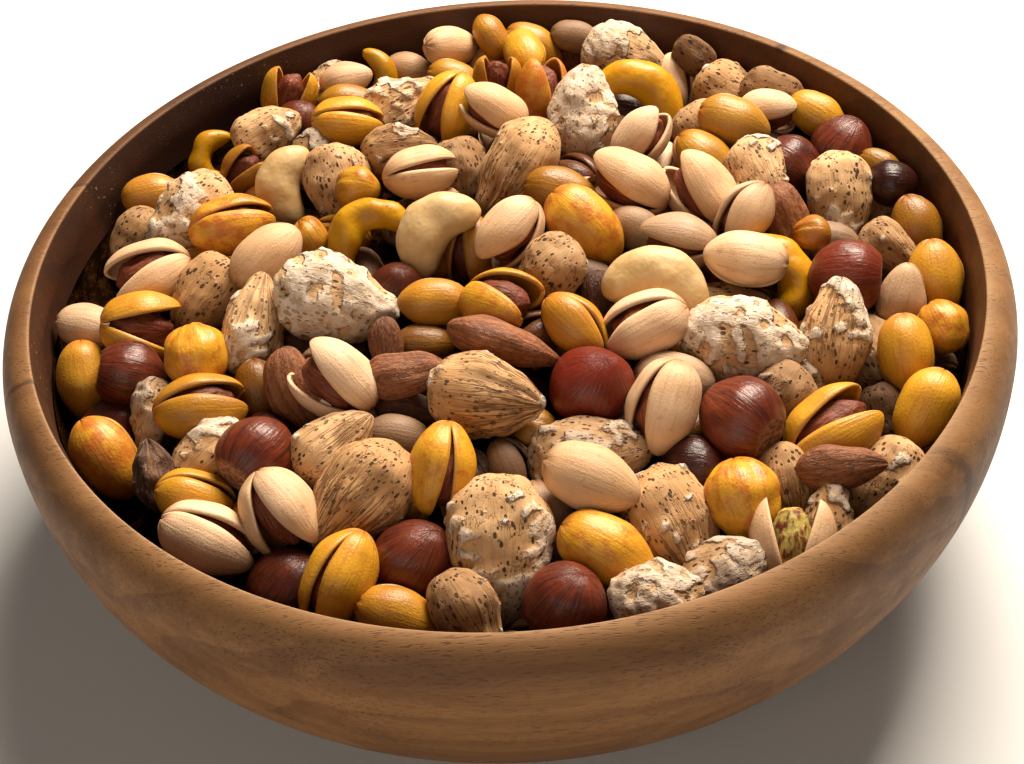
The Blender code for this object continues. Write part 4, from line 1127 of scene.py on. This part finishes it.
# The gold pistachios: the same nuts, dyed with saffron and glazed, so that they are amber and
# waxy, with orange where the glaze pooled or rubbed and a dull green where it is thin.
GOLD_AMBER = (0.48, 0.205, 0.016)
GOLD_YELLOW = (0.66, 0.330, 0.020)
GOLD_RUST = (0.45, 0.135, 0.014)
GOLD_OLIVE = (0.34, 0.195, 0.030)
GOLD_LIP = (0.56, 0.27, 0.065)

gold = NutFinish("saffron_shell", 0.36, Specular_IOR_Level=0.4)
own = gold.read("own", "Vector")
stripes = gold.read("stripes", "Vector")
tone = gold.read("tone")
rust = gold.read("rust")
streak = gold.noise(stripes, 1.2, 3.0, 0.65)
cloud = gold.noise(own, 0.18, 3.0)
colour = gold.mix((cloud + tone * 0.5 - 0.25).rise(0.2, 0.8), GOLD_YELLOW, GOLD_AMBER)
colour = gold.mix((rust * -1.0).rise(0.0, 1.0) * 0.8, colour, GOLD_OLIVE)
pool = gold.noise(own, 0.30, 3.0, 0.6)
colour = gold.mix((pool + rust * 0.22).rise(0.55, 0.75) * rust.rise(-0.1, 0.5), colour, GOLD_RUST)
colour = gold.mix(streak.rise(0.48, 0.72) * 0.45, colour, GOLD_RUST)
colour = gold.mix(gold.read("share").rise(-0.75, -1.0) * 0.6, colour, GOLD_RUST)
lip_share = gold.read("rim")
colour = gold.mix(lip_share * 0.5, colour, GOLD_LIP)
gold.colour(gold.mix(gold.read("within") * 0.6 * (1.0 - lip_share), colour, GOLD_RUST))
gold.feed(gold.shader.inputs["Roughness"], 0.28 + streak * 0.22)
gold.normal(gold.bump(streak * 0.7 + gold.noise(own, 1.8, 3.0) * 0.5, 0.00022))
placed("gold_pistachio_shells", shell_blocks("gold_pistachio"), gold)


# The almonds in their shells: flat drops of porous tan wood with a keel along one edge, grooves
# that run together at the tip, dark pits, and a crust of dried brine that stands up white.
ALMOND_TAPER = 0.22
ALMOND_POINT = 0.10
ALMOND_GRID = (44, 44)
GAP_GRID = (14, 14)
KEEL = 0.55 * MM
KEEL_WIDTH = 0.22
SECOND_KEEL = 0.45
ALMOND_WAVE = 0.30 * MM
ALMOND_FINE_WAVE = 0.10 * MM
GROOVE_DEPTH = 0.45 * MM
SALT_DEPTH = 0.55 * MM
ALMOND_TAN = (0.50, 0.275, 0.115)
ALMOND_PALE = (0.65, 0.405, 0.205)
ALMOND_BROWN = (0.270, 0.120, 0.045)
ALMOND_LINE = (0.120, 0.045, 0.016)
ALMOND_PIT = (0.055, 0.020, 0.008)
SALT_WHITE = (0.72, 0.61, 0.50)
SALT_TAN = (0.56, 0.395, 0.25)


def almonds(numbers, stations, around):
    """Drops with two keels, lengthwise grooves towards the tip and a raised crust of salt."""
    unit, half = grid(numbers, stations, around)
    out = out_of(unit, half)
    local = egg(unit, ALMOND_TAPER, ALMOND_POINT) * half
    looks = patterns(numbers, unit, local)
    share = looks["share"]
    ring = np.hypot(unit[..., 1], unit[..., 2])
    edge = np.exp(-((unit[..., 2] / ring / KEEL_WIDTH) ** 2)) * ring
    edge = edge * np.where(unit[..., 1] > 0.0, 1.0, SECOND_KEEL)
    salt_share = column(numbers, LOOK, 0.6)
    salt_end = column(numbers, SECOND, 0.0)
    ribs = column(numbers, THIRD, 1.0)
    lumps = ripples(looks["own"], 8.0, 11) * ALMOND_WAVE
    lumps = lumps + ripples(looks["own"], 3.0, 13) * ALMOND_FINE_WAVE
    lines = ripples(looks["stripes"] * (0.6, 1.0, 1.0), 3.0, 17)
    ribbed = ramp(share, -0.7, 0.3) * ribs
    groove = ramp(lines, 0.2, 1.1) * (0.15 + 0.85 * ribbed)
    patch = ripples(looks["own"], 11.0, 19) * 0.5 + ripples(looks["own"], 3.6, 23) * 0.35
    salt = ramp(patch + 0.9 * salt_end * share + 1.8 * salt_share - 1.1, -0.15, 0.45)
    crumbs_and_shade = ripples(looks["own"], 2.2, 29) * 0.35 + 1.0
    rise = edge * KEEL + lumps - groove * GROOVE_DEPTH + salt * crumbs_and_shade * SALT_DEPTH
    local = local + rise[..., None] * out
    looks["salt"] = salt
    looks["groove"] = groove
    looks["ribbed"] = ribbed
    return laid(numbers, local), looks


brine = NutFinish("almond_shell", 0.72, Specular_IOR_Level=0.3)
own = brine.read("own", "Vector")
stripes = brine.read("stripes", "Vector")
tone = brine.read("tone")
cloud = brine.noise(own, 0.22, 3.0)
fibre = brine.noise(stripes, 1.5, 4.0, 0.65)
colour = brine.mix((cloud + tone * 0.5 - 0.25).rise(0.25, 0.75), ALMOND_PALE, ALMOND_TAN)
stain = brine.noise(own, 0.30, 4.0, 0.65)
colour = brine.mix(stain.rise(0.52, 0.72) * 0.35 + fibre.rise(0.52, 0.75) * 0.35, colour, ALMOND_BROWN)
dots = {"Vector": brine.stretch(own, (0.50, 1.0, 1.0)), "Scale": 0.95}
cell = brine.node("TexVoronoi", {"feature": "F1"}, dots, "Distance")
pit = (cell + (brine.noise(own, 0.40, 2.0) - 0.5) * 0.8).rise(0.27, 0.15)
wave = brine.noise(brine.stretch(own, (0.35, 1.0, 1.0)), 0.6, 3.0, 0.6)
worm = (wave - 0.5).away().rise(0.028, 0.004) * stain.rise(0.47, 0.58)
vein = (brine.noise(stripes, 0.62, 3.0, 0.55) - 0.5).away().rise(0.05, 0.008)
ribbed = brine.read("ribbed")
line = (worm * 0.7).most(vein * (0.12 + 0.88 * ribbed)).most(brine.read("groove") * 0.7)
colour = brine.mix(line * 0.85, colour, ALMOND_LINE)
colour = brine.mix(pit * (0.95 - 0.35 * ribbed), colour, ALMOND_PIT)
grain = brine.noise(own, 1.6, 3.0, 0.6)
blobs = brine.noise(own, 0.42, 2.0)
crust = (brine.read("salt") + (grain - 0.5) * 0.3 + (blobs - 0.5) * 1.3).rise(0.28, 0.86)
crust = crust * (1.0 - pit * 0.3)
crust_colour = brine.mix((blobs + grain * 0.4).rise(0.45, 0.85), SALT_TAN, SALT_WHITE)
brine.colour(brine.mix(crust * 0.88, colour, crust_colour))
height = crust * (0.7 + grain * 0.25 + blobs) - pit * 0.7 - line * 0.45 + fibre * 0.3 + grain * 0.12
brine.normal(brine.bump(height, 0.0005))
placed("almonds", both_layers(almonds, "almond", ALMOND_GRID, GAP_GRID), brine)


# The shelled almonds: smooth flat drops in a brown skin with fine lengthwise wrinkles. Some show
# the pale flesh where the stem end broke off.
SKIN_TAPER = 0.20
SKIN_POINT = 0.06
SKIN_GRID = (36, 40)
SKIN_WRINKLE = 0.10 * MM
SKIN_WAVE = 0.20 * MM
SKIN_BEND = 0.30
CUT_START = 0.86
CUT_END = 0.93
SKIN_BROWN = (0.165, 0.046, 0.015)
SKIN_LIGHT = (0.330, 0.125, 0.045)
SKIN_DARK = (0.060, 0.016, 0.007)
FLESH = (0.66, 0.44, 0.25)


def almond_kernels(numbers, stations, around):
    """Flat drops, bent in their own plane by the square of the share along."""
    unit, half = grid(numbers, stations, around)
    local = egg(unit, SKIN_TAPER, SKIN_POINT) * half
    looks = patterns(numbers, unit, local)
    wrinkle = ripples(looks["stripes"] * (0.5, 1.0, 1.0), 2.2, 31) * SKIN_WRINKLE
    wave = ripples(looks["own"], 7.0, 37) * SKIN_WAVE
    local = local + (wrinkle + wave)[..., None] * out_of(unit, half)
    bend = column(numbers, SECOND) * (looks["share"] ** 2 - 0.4) * SKIN_BEND * half[..., 1]
    local = local + bend[..., None] * (0.0, 1.0, 0.0)
    looks["cut"] = column(numbers, LOOK) * ramp(-looks["share"], CUT_START, CUT_END)
    return laid(numbers, local), looks


skin = NutFinish("almond_skin", 0.52, Specular_IOR_Level=0.35)
own = skin.read("own", "Vector")
streak = skin.noise(skin.read("stripes", "Vector"), 1.0, 3.0, 0.6)
scales = skin.noise(skin.stretch(own, (0.4, 1.0, 1.0)), 1.7, 4.0, 0.65)
colour = skin.mix((streak * 0.5 + scales * 0.5).rise(0.38, 0.62), SKIN_LIGHT, SKIN_BROWN)
colour = skin.mix(skin.noise(own, 0.5, 3.0).rise(0.5, 0.75) * 0.6, colour, SKIN_DARK)
skin.colour(skin.mix(skin.read("cut"), colour, FLESH))
skin.normal(skin.bump(streak * 0.6 + scales, 0.0005))
placed("almond_kernels", both_layers(almond_kernels, "almond_kernel", SKIN_GRID, GAP_GRID), skin)


# The cashews: bent, thick and smooth, cream where they are plain and a strong yellow where they
# are dyed. Lumps and small dark holes show where the skin came off.
# Each BEAN row: the bend of each half, the radius of the arc and half the thickness; then half the
# reach along and across, and the middle of that across
BEAN = {
    "cashew": (np.radians(80), 0.70, 0.44, 0.895, 0.514, 0.625),
    "gold_cashew": (np.radians(92), 0.76, 0.36, 0.971, 0.573, 0.546),
}
BEAN_FULL_ENDS = 0.15
BEAN_GRID = (48, 40)
CASHEW_WAVE = 0.35 * MM
CREASE_WIDTH = 0.16
CREASE_DEPTH = 0.25 * MM
CASHEW_CREAM = (0.52, 0.335, 0.140)
CASHEW_PALE = (0.61, 0.430, 0.215)
CASHEW_BROWN = (0.40, 0.19, 0.060)
CASHEW_YELLOW = (0.47, 0.205, 0.002)
CASHEW_LEMON = (0.52, 0.265, 0.003)
CASHEW_ORANGE = (0.40, 0.145, 0.002)


def cashews(kind, stations, around):
    """Balls with full ends, bent round an arc: the share along sets the angle on it."""
    numbers = picked(kind, True)
    unit, half = grid(numbers, stations, around)
    share, side, face = unit[..., 0], unit[..., 1], unit[..., 2]
    turn_each, hub, thick, reach, width, middle = BEAN[kind]
    bend = share * turn_each
    full = np.clip(1.0 - share ** 2, 0.001, 1.0) ** -BEAN_FULL_ENDS
    radius = hub + thick * side * full
    long = radius * np.sin(bend) / reach
    wide = (radius * np.cos(bend) - middle) / width
    local = np.stack([long, wide, face * full], -1) * half
    looks = patterns(numbers, unit, local)
    across_arc = np.stack([side * np.sin(bend), side * np.cos(bend), face], -1)
    out = across_arc / (np.linalg.norm(across_arc, axis=-1, keepdims=True) + 1e-9)
    lumps = column(numbers, LOOK, 0.5)
    bumps = ripples(looks["own"], 7.0, 41) * (0.5 + 0.9 * lumps) * CASHEW_WAVE
    crease = np.exp(-((face / CREASE_WIDTH) ** 2)) * (side > 0.0) * CREASE_DEPTH
    ends = np.sqrt(np.clip(1.0 - share ** 2, 0.0, 1.0))
    local = local + ((bumps - crease) * ends)[..., None] * out
    looks["lumps"] = even(lumps, local)
    return laid(numbers, local), looks


def cashew_finish(name, main, pale_part, brown_part, roughness):
    """A smooth skinless nut: pale clouds, brown rubs, and dark holes where it is lumpy."""
    nut = NutFinish(name, roughness, Specular_IOR_Level=0.35)
    own = nut.read("own", "Vector")
    cloud = nut.noise(own, 0.22, 3.0)
    colour = nut.mix(cloud.rise(0.35, 0.65), pale_part, main)
    colour = nut.mix(nut.noise(own, 0.42, 3.0, 0.6).rise(0.58, 0.72) * 0.25, colour, brown_part)
    speck = nut.noise(own, 1.3, 2.0)
    hole = speck.rise(0.70, 0.76) * nut.read("lumps").rise(0.1, 0.8)
    nut.colour(nut.mix(hole, colour, ALMOND_PIT))
    nut.normal(nut.bump(nut.noise(own, 0.28, 2.0) * 1.1 - hole + speck * 0.20, 0.0003))
    return nut


cream = cashew_finish("plain_cashew", CASHEW_CREAM, CASHEW_PALE, CASHEW_BROWN, 0.45)
placed("cashews", [cashews("cashew", *BEAN_GRID)], cream)
yellow = cashew_finish("saffron_cashew", CASHEW_YELLOW, CASHEW_LEMON, CASHEW_ORANGE, 0.40)
placed("gold_cashews", [cashews("gold_cashew", *BEAN_GRID)], yellow)


# The hazelnuts in their shells: hard, round, dark red-brown and half glossy, with fine streaks
# from the rough brown scar at the stem to a blunt point.
HAZEL_TAPER = 0.06
HAZEL_POINT = 0.04
SCAR_START = 0.86
SCAR_DOME = 0.10
SCAR_ROUGH = 0.12 * MM
HAZEL_WAVE = 0.308 * MM
HAZEL_FINE_WAVE = 0.055 * MM
HAZEL_GRID = (40, 44)
HAZEL_GAP_GRID = (16, 18)
HAZEL_BROWN = (0.080, 0.013, 0.006)
HAZEL_LIGHT = (0.185, 0.036, 0.013)
HAZEL_RED = (0.150, 0.014, 0.006)
HAZEL_DARK = (0.026, 0.008, 0.006)
SCAR_TAN = (0.33, 0.165, 0.078)
SCAR_BROWN = (0.130, 0.050, 0.022)


def hazelnuts(numbers, stations, around):
    """Round nuts cut nearly flat at the stem, with broad faces and a little point."""
    unit, half = grid(numbers, stations, around)
    shape = egg(unit, HAZEL_TAPER, HAZEL_POINT)
    flat_end = -SCAR_START - SCAR_DOME * (1.0 - unit[..., 0] ** 2)
    shape[..., 0] = np.maximum(shape[..., 0], flat_end)
    local = shape * half
    looks = patterns(numbers, unit, local)
    faces = ripples(looks["own"], 13.0, 43) * HAZEL_WAVE
    faces = faces + ripples(looks["own"], 5.0, 47) * HAZEL_FINE_WAVE
    scar = ramp(-looks["share"], SCAR_START - 0.01, SCAR_START + 0.03)
    rough = ripples(looks["own"], 1.6, 53) * SCAR_ROUGH * scar
    local = local + (faces * (1.0 - scar) + rough)[..., None] * out_of(unit, half)
    looks["scar"] = scar * (0.35 + 0.65 * column(numbers, LOOK, 1.0))
    looks["red"] = even(column(numbers, SECOND, 0.3), local)
    return laid(numbers, local), looks


hazel = NutFinish("hazelnut_shell", 0.24, Specular_IOR_Level=0.4)
own = hazel.read("own", "Vector")
streak = hazel.noise(hazel.read("stripes", "Vector"), 1.3, 3.0, 0.65)
cloud = hazel.noise(own, 0.16, 2.0)
colour = hazel.mix((streak * 0.9 + cloud * 0.7 - 0.3).rise(0.25, 0.75), HAZEL_LIGHT, HAZEL_BROWN)
colour = hazel.mix(hazel.read("red") * 0.8, colour, HAZEL_RED)
colour = hazel.mix(streak.rise(0.52, 0.72) * 0.6, colour, HAZEL_DARK)
scar_fibre = hazel.noise(own, 1.1, 3.0, 0.6).rise(0.42, 0.62)
scar_colour = hazel.mix(scar_fibre, SCAR_TAN, SCAR_BROWN)
hazel.colour(hazel.mix(hazel.read("scar") * 0.9, colour, scar_colour))
hazel.feed(hazel.shader.inputs["Roughness"], 0.22 + 0.24 * streak + 0.4 * hazel.read("scar"))
hazel.normal(hazel.bump(streak * 0.8 + hazel.noise(own, 0.9, 2.0) * 0.4, 0.0003))
placed("hazelnuts", both_layers(hazelnuts, "hazelnut", HAZEL_GRID, HAZEL_GAP_GRID), hazel)


# The shelled hazelnuts dyed with saffron: small amber balls with low ridges that run out from the
# stem end.
GOLD_NUT_TAPER = 0.05
GOLD_NUT_WAVE = 0.25 * MM
RIDGE_HEIGHT = 0.20 * MM
GOLD_NUT_GRID = (32, 40)
GOLD_NUT_GAP_GRID = (14, 16)


def gold_hazelnuts(numbers, stations, around):
    """Round kernels with ridges that follow cosines of the angle about the length."""
    unit, half = grid(numbers, stations, around)
    local = egg(unit, GOLD_NUT_TAPER, 0.0) * half
    looks = patterns(numbers, unit, local)
    angle = np.arctan2(unit[..., 2], unit[..., 1])
    ridges = (np.cos(9.0 * angle) + 0.6 * np.cos(14.0 * angle + 1.0)) * RIDGE_HEIGHT
    ridges = ridges * ramp(-unit[..., 0], -0.7, 0.6)
    waves = ripples(looks["own"], 6.0, 59) * GOLD_NUT_WAVE + ridges
    local = local + waves[..., None] * out_of(unit, half)
    looks["rust"] = even(column(numbers, LOOK, 0.6) + 0.4, local)
    looks["rim"] = even(0.0, local)
    looks["within"] = even(0.0, local)
    return laid(numbers, local), looks


gold_nuts = both_layers(gold_hazelnuts, "gold_hazelnut", GOLD_NUT_GRID, GOLD_NUT_GAP_GRID)
placed("gold_hazelnuts", gold_nuts, gold)


# The husks: bits of shrivelled dark skin between the nuts, with flecks of dried brine on their
# folds.
HUSK_BROWN = (0.080, 0.030, 0.014)
HUSK_LIGHT = (0.20, 0.095, 0.045)
HUSK_GRID = (32, 36)
HUSK_TAPER = 0.05
HUSK_FOLD = 0.7 * MM
HUSK_LUMP = 0.5 * MM


def husks(numbers, stations, around):
    """Eggs pulled in by deep ripples."""
    unit, half = grid(numbers, stations, around)
    local = egg(unit, HUSK_TAPER, 0.0) * half
    looks = patterns(numbers, unit, local)
    folds = ripples(looks["stripes"], 3.0, 61) * HUSK_FOLD + ripples(looks["own"], 4.0, 67) * HUSK_LUMP
    return laid(numbers, local + folds[..., None] * out_of(unit, half)), looks


husk = NutFinish("husk", 0.75)
own = husk.read("own", "Vector")
fold = husk.noise(husk.read("stripes", "Vector"), 0.9, 3.0)
shred = husk.noise(husk.stretch(own, (0.4, 1.0, 1.0)), 0.8, 4.0, 0.65)
colour = husk.mix(fold.rise(0.4, 0.65), HUSK_BROWN, HUSK_LIGHT)
husk.colour(husk.mix(shred.rise(0.57, 0.66) * 0.7, colour, SALT_TAN))
husk.normal(husk.bump(fold + shred, 0.0012))
placed("husks", [husks(picked("husk", True), *HUSK_GRID)], husk)


# The bed: the heap under the nuts that show, a near-black sheet of painted shade with faint brown
# crumb marks. It follows the inner wall and lies well under the middles of the nuts above it.
BED_SINK = 0.0090
BED_BLUR = 0.011
BED_STEPS = 180
BED_RINGS = 60
BED_WALL = 24
BED_SHOULDER = 0.014
BED_LUMP = 1.6 * MM
# Painted shade: the bed's two colours stand for the dark gaps between the nuts
BED_DARK = (0.008, 0.003, 0.001)
BED_BROWN = (0.034, 0.012, 0.004)


def bed_top(points):
    """Height under a place: the mean of the nuts' middles, weighted by closeness, less a depth."""
    square = ((points[:, None, :2] - nut_middles[None, :, :2]) ** 2).sum(-1)
    weight = np.exp(-square / (2.0 * BED_BLUR ** 2))
    return (weight * nut_middles[:, 2]).sum(1) / weight.sum(1) - BED_SINK


bed_angle = 2.0 * np.pi * np.arange(BED_STEPS) / BED_STEPS
shoulder = HEIGHT - BED_SHOULDER
bed_wall_heights = np.linspace(FLOOR_HEIGHT + HEAP_GAP, shoulder, BED_WALL)
bed_wall_radii = inner_radius(bed_wall_heights) - HEAP_GAP
bed_edge = bed_wall_radii[-1]
top_radii = bed_edge * (BED_RINGS - 0.5 - np.arange(BED_RINGS)) / BED_RINGS
floor_radii = bed_wall_radii[0] * np.array([0.2, 0.5, 0.8])
bed_radii = np.concatenate([floor_radii, bed_wall_radii, top_radii])
floor_heights = np.full(len(floor_radii), FLOOR_HEIGHT + HEAP_GAP)
bed_heights = np.concatenate([floor_heights, bed_wall_heights, np.zeros(BED_RINGS)])
bed_rings = np.stack(
    [
        bed_radii[:, None] * np.cos(bed_angle),
        bed_radii[:, None] * np.sin(bed_angle),
        np.repeat(bed_heights[:, None], BED_STEPS, 1),
    ],
    -1,
)
top_points = bed_rings[-BED_RINGS:].reshape(-1, 3)
lump = ripples(top_points / MM, 6.0, 71) + 0.6 * ripples(top_points / MM, 3.0, 73)
top_heights = np.minimum(bed_top(top_points) + lump * BED_LUMP, HEIGHT)
bed_rings[-BED_RINGS:, :, 2] = top_heights.reshape(BED_RINGS, BED_STEPS)
# Painted shade: the bed is coloured nearly black for the shade in the gaps between the nuts.
crumbs_and_shade = Finish("crumbs_and_shade", 1.0, Specular_IOR_Level=0.0)
own = crumbs_and_shade.read("own", "Vector")
bits = crumbs_and_shade.noise(own, 0.5, 4.0, 0.7)
crumbs_and_shade.colour(crumbs_and_shade.mix(bits.rise(0.45, 0.7), BED_DARK, BED_BROWN))
crumbs_and_shade.normal(crumbs_and_shade.bump(bits, 0.0015))
placed("bed", [(bed_rings[None], {"own": bed_rings[None] / MM})], crumbs_and_shade)
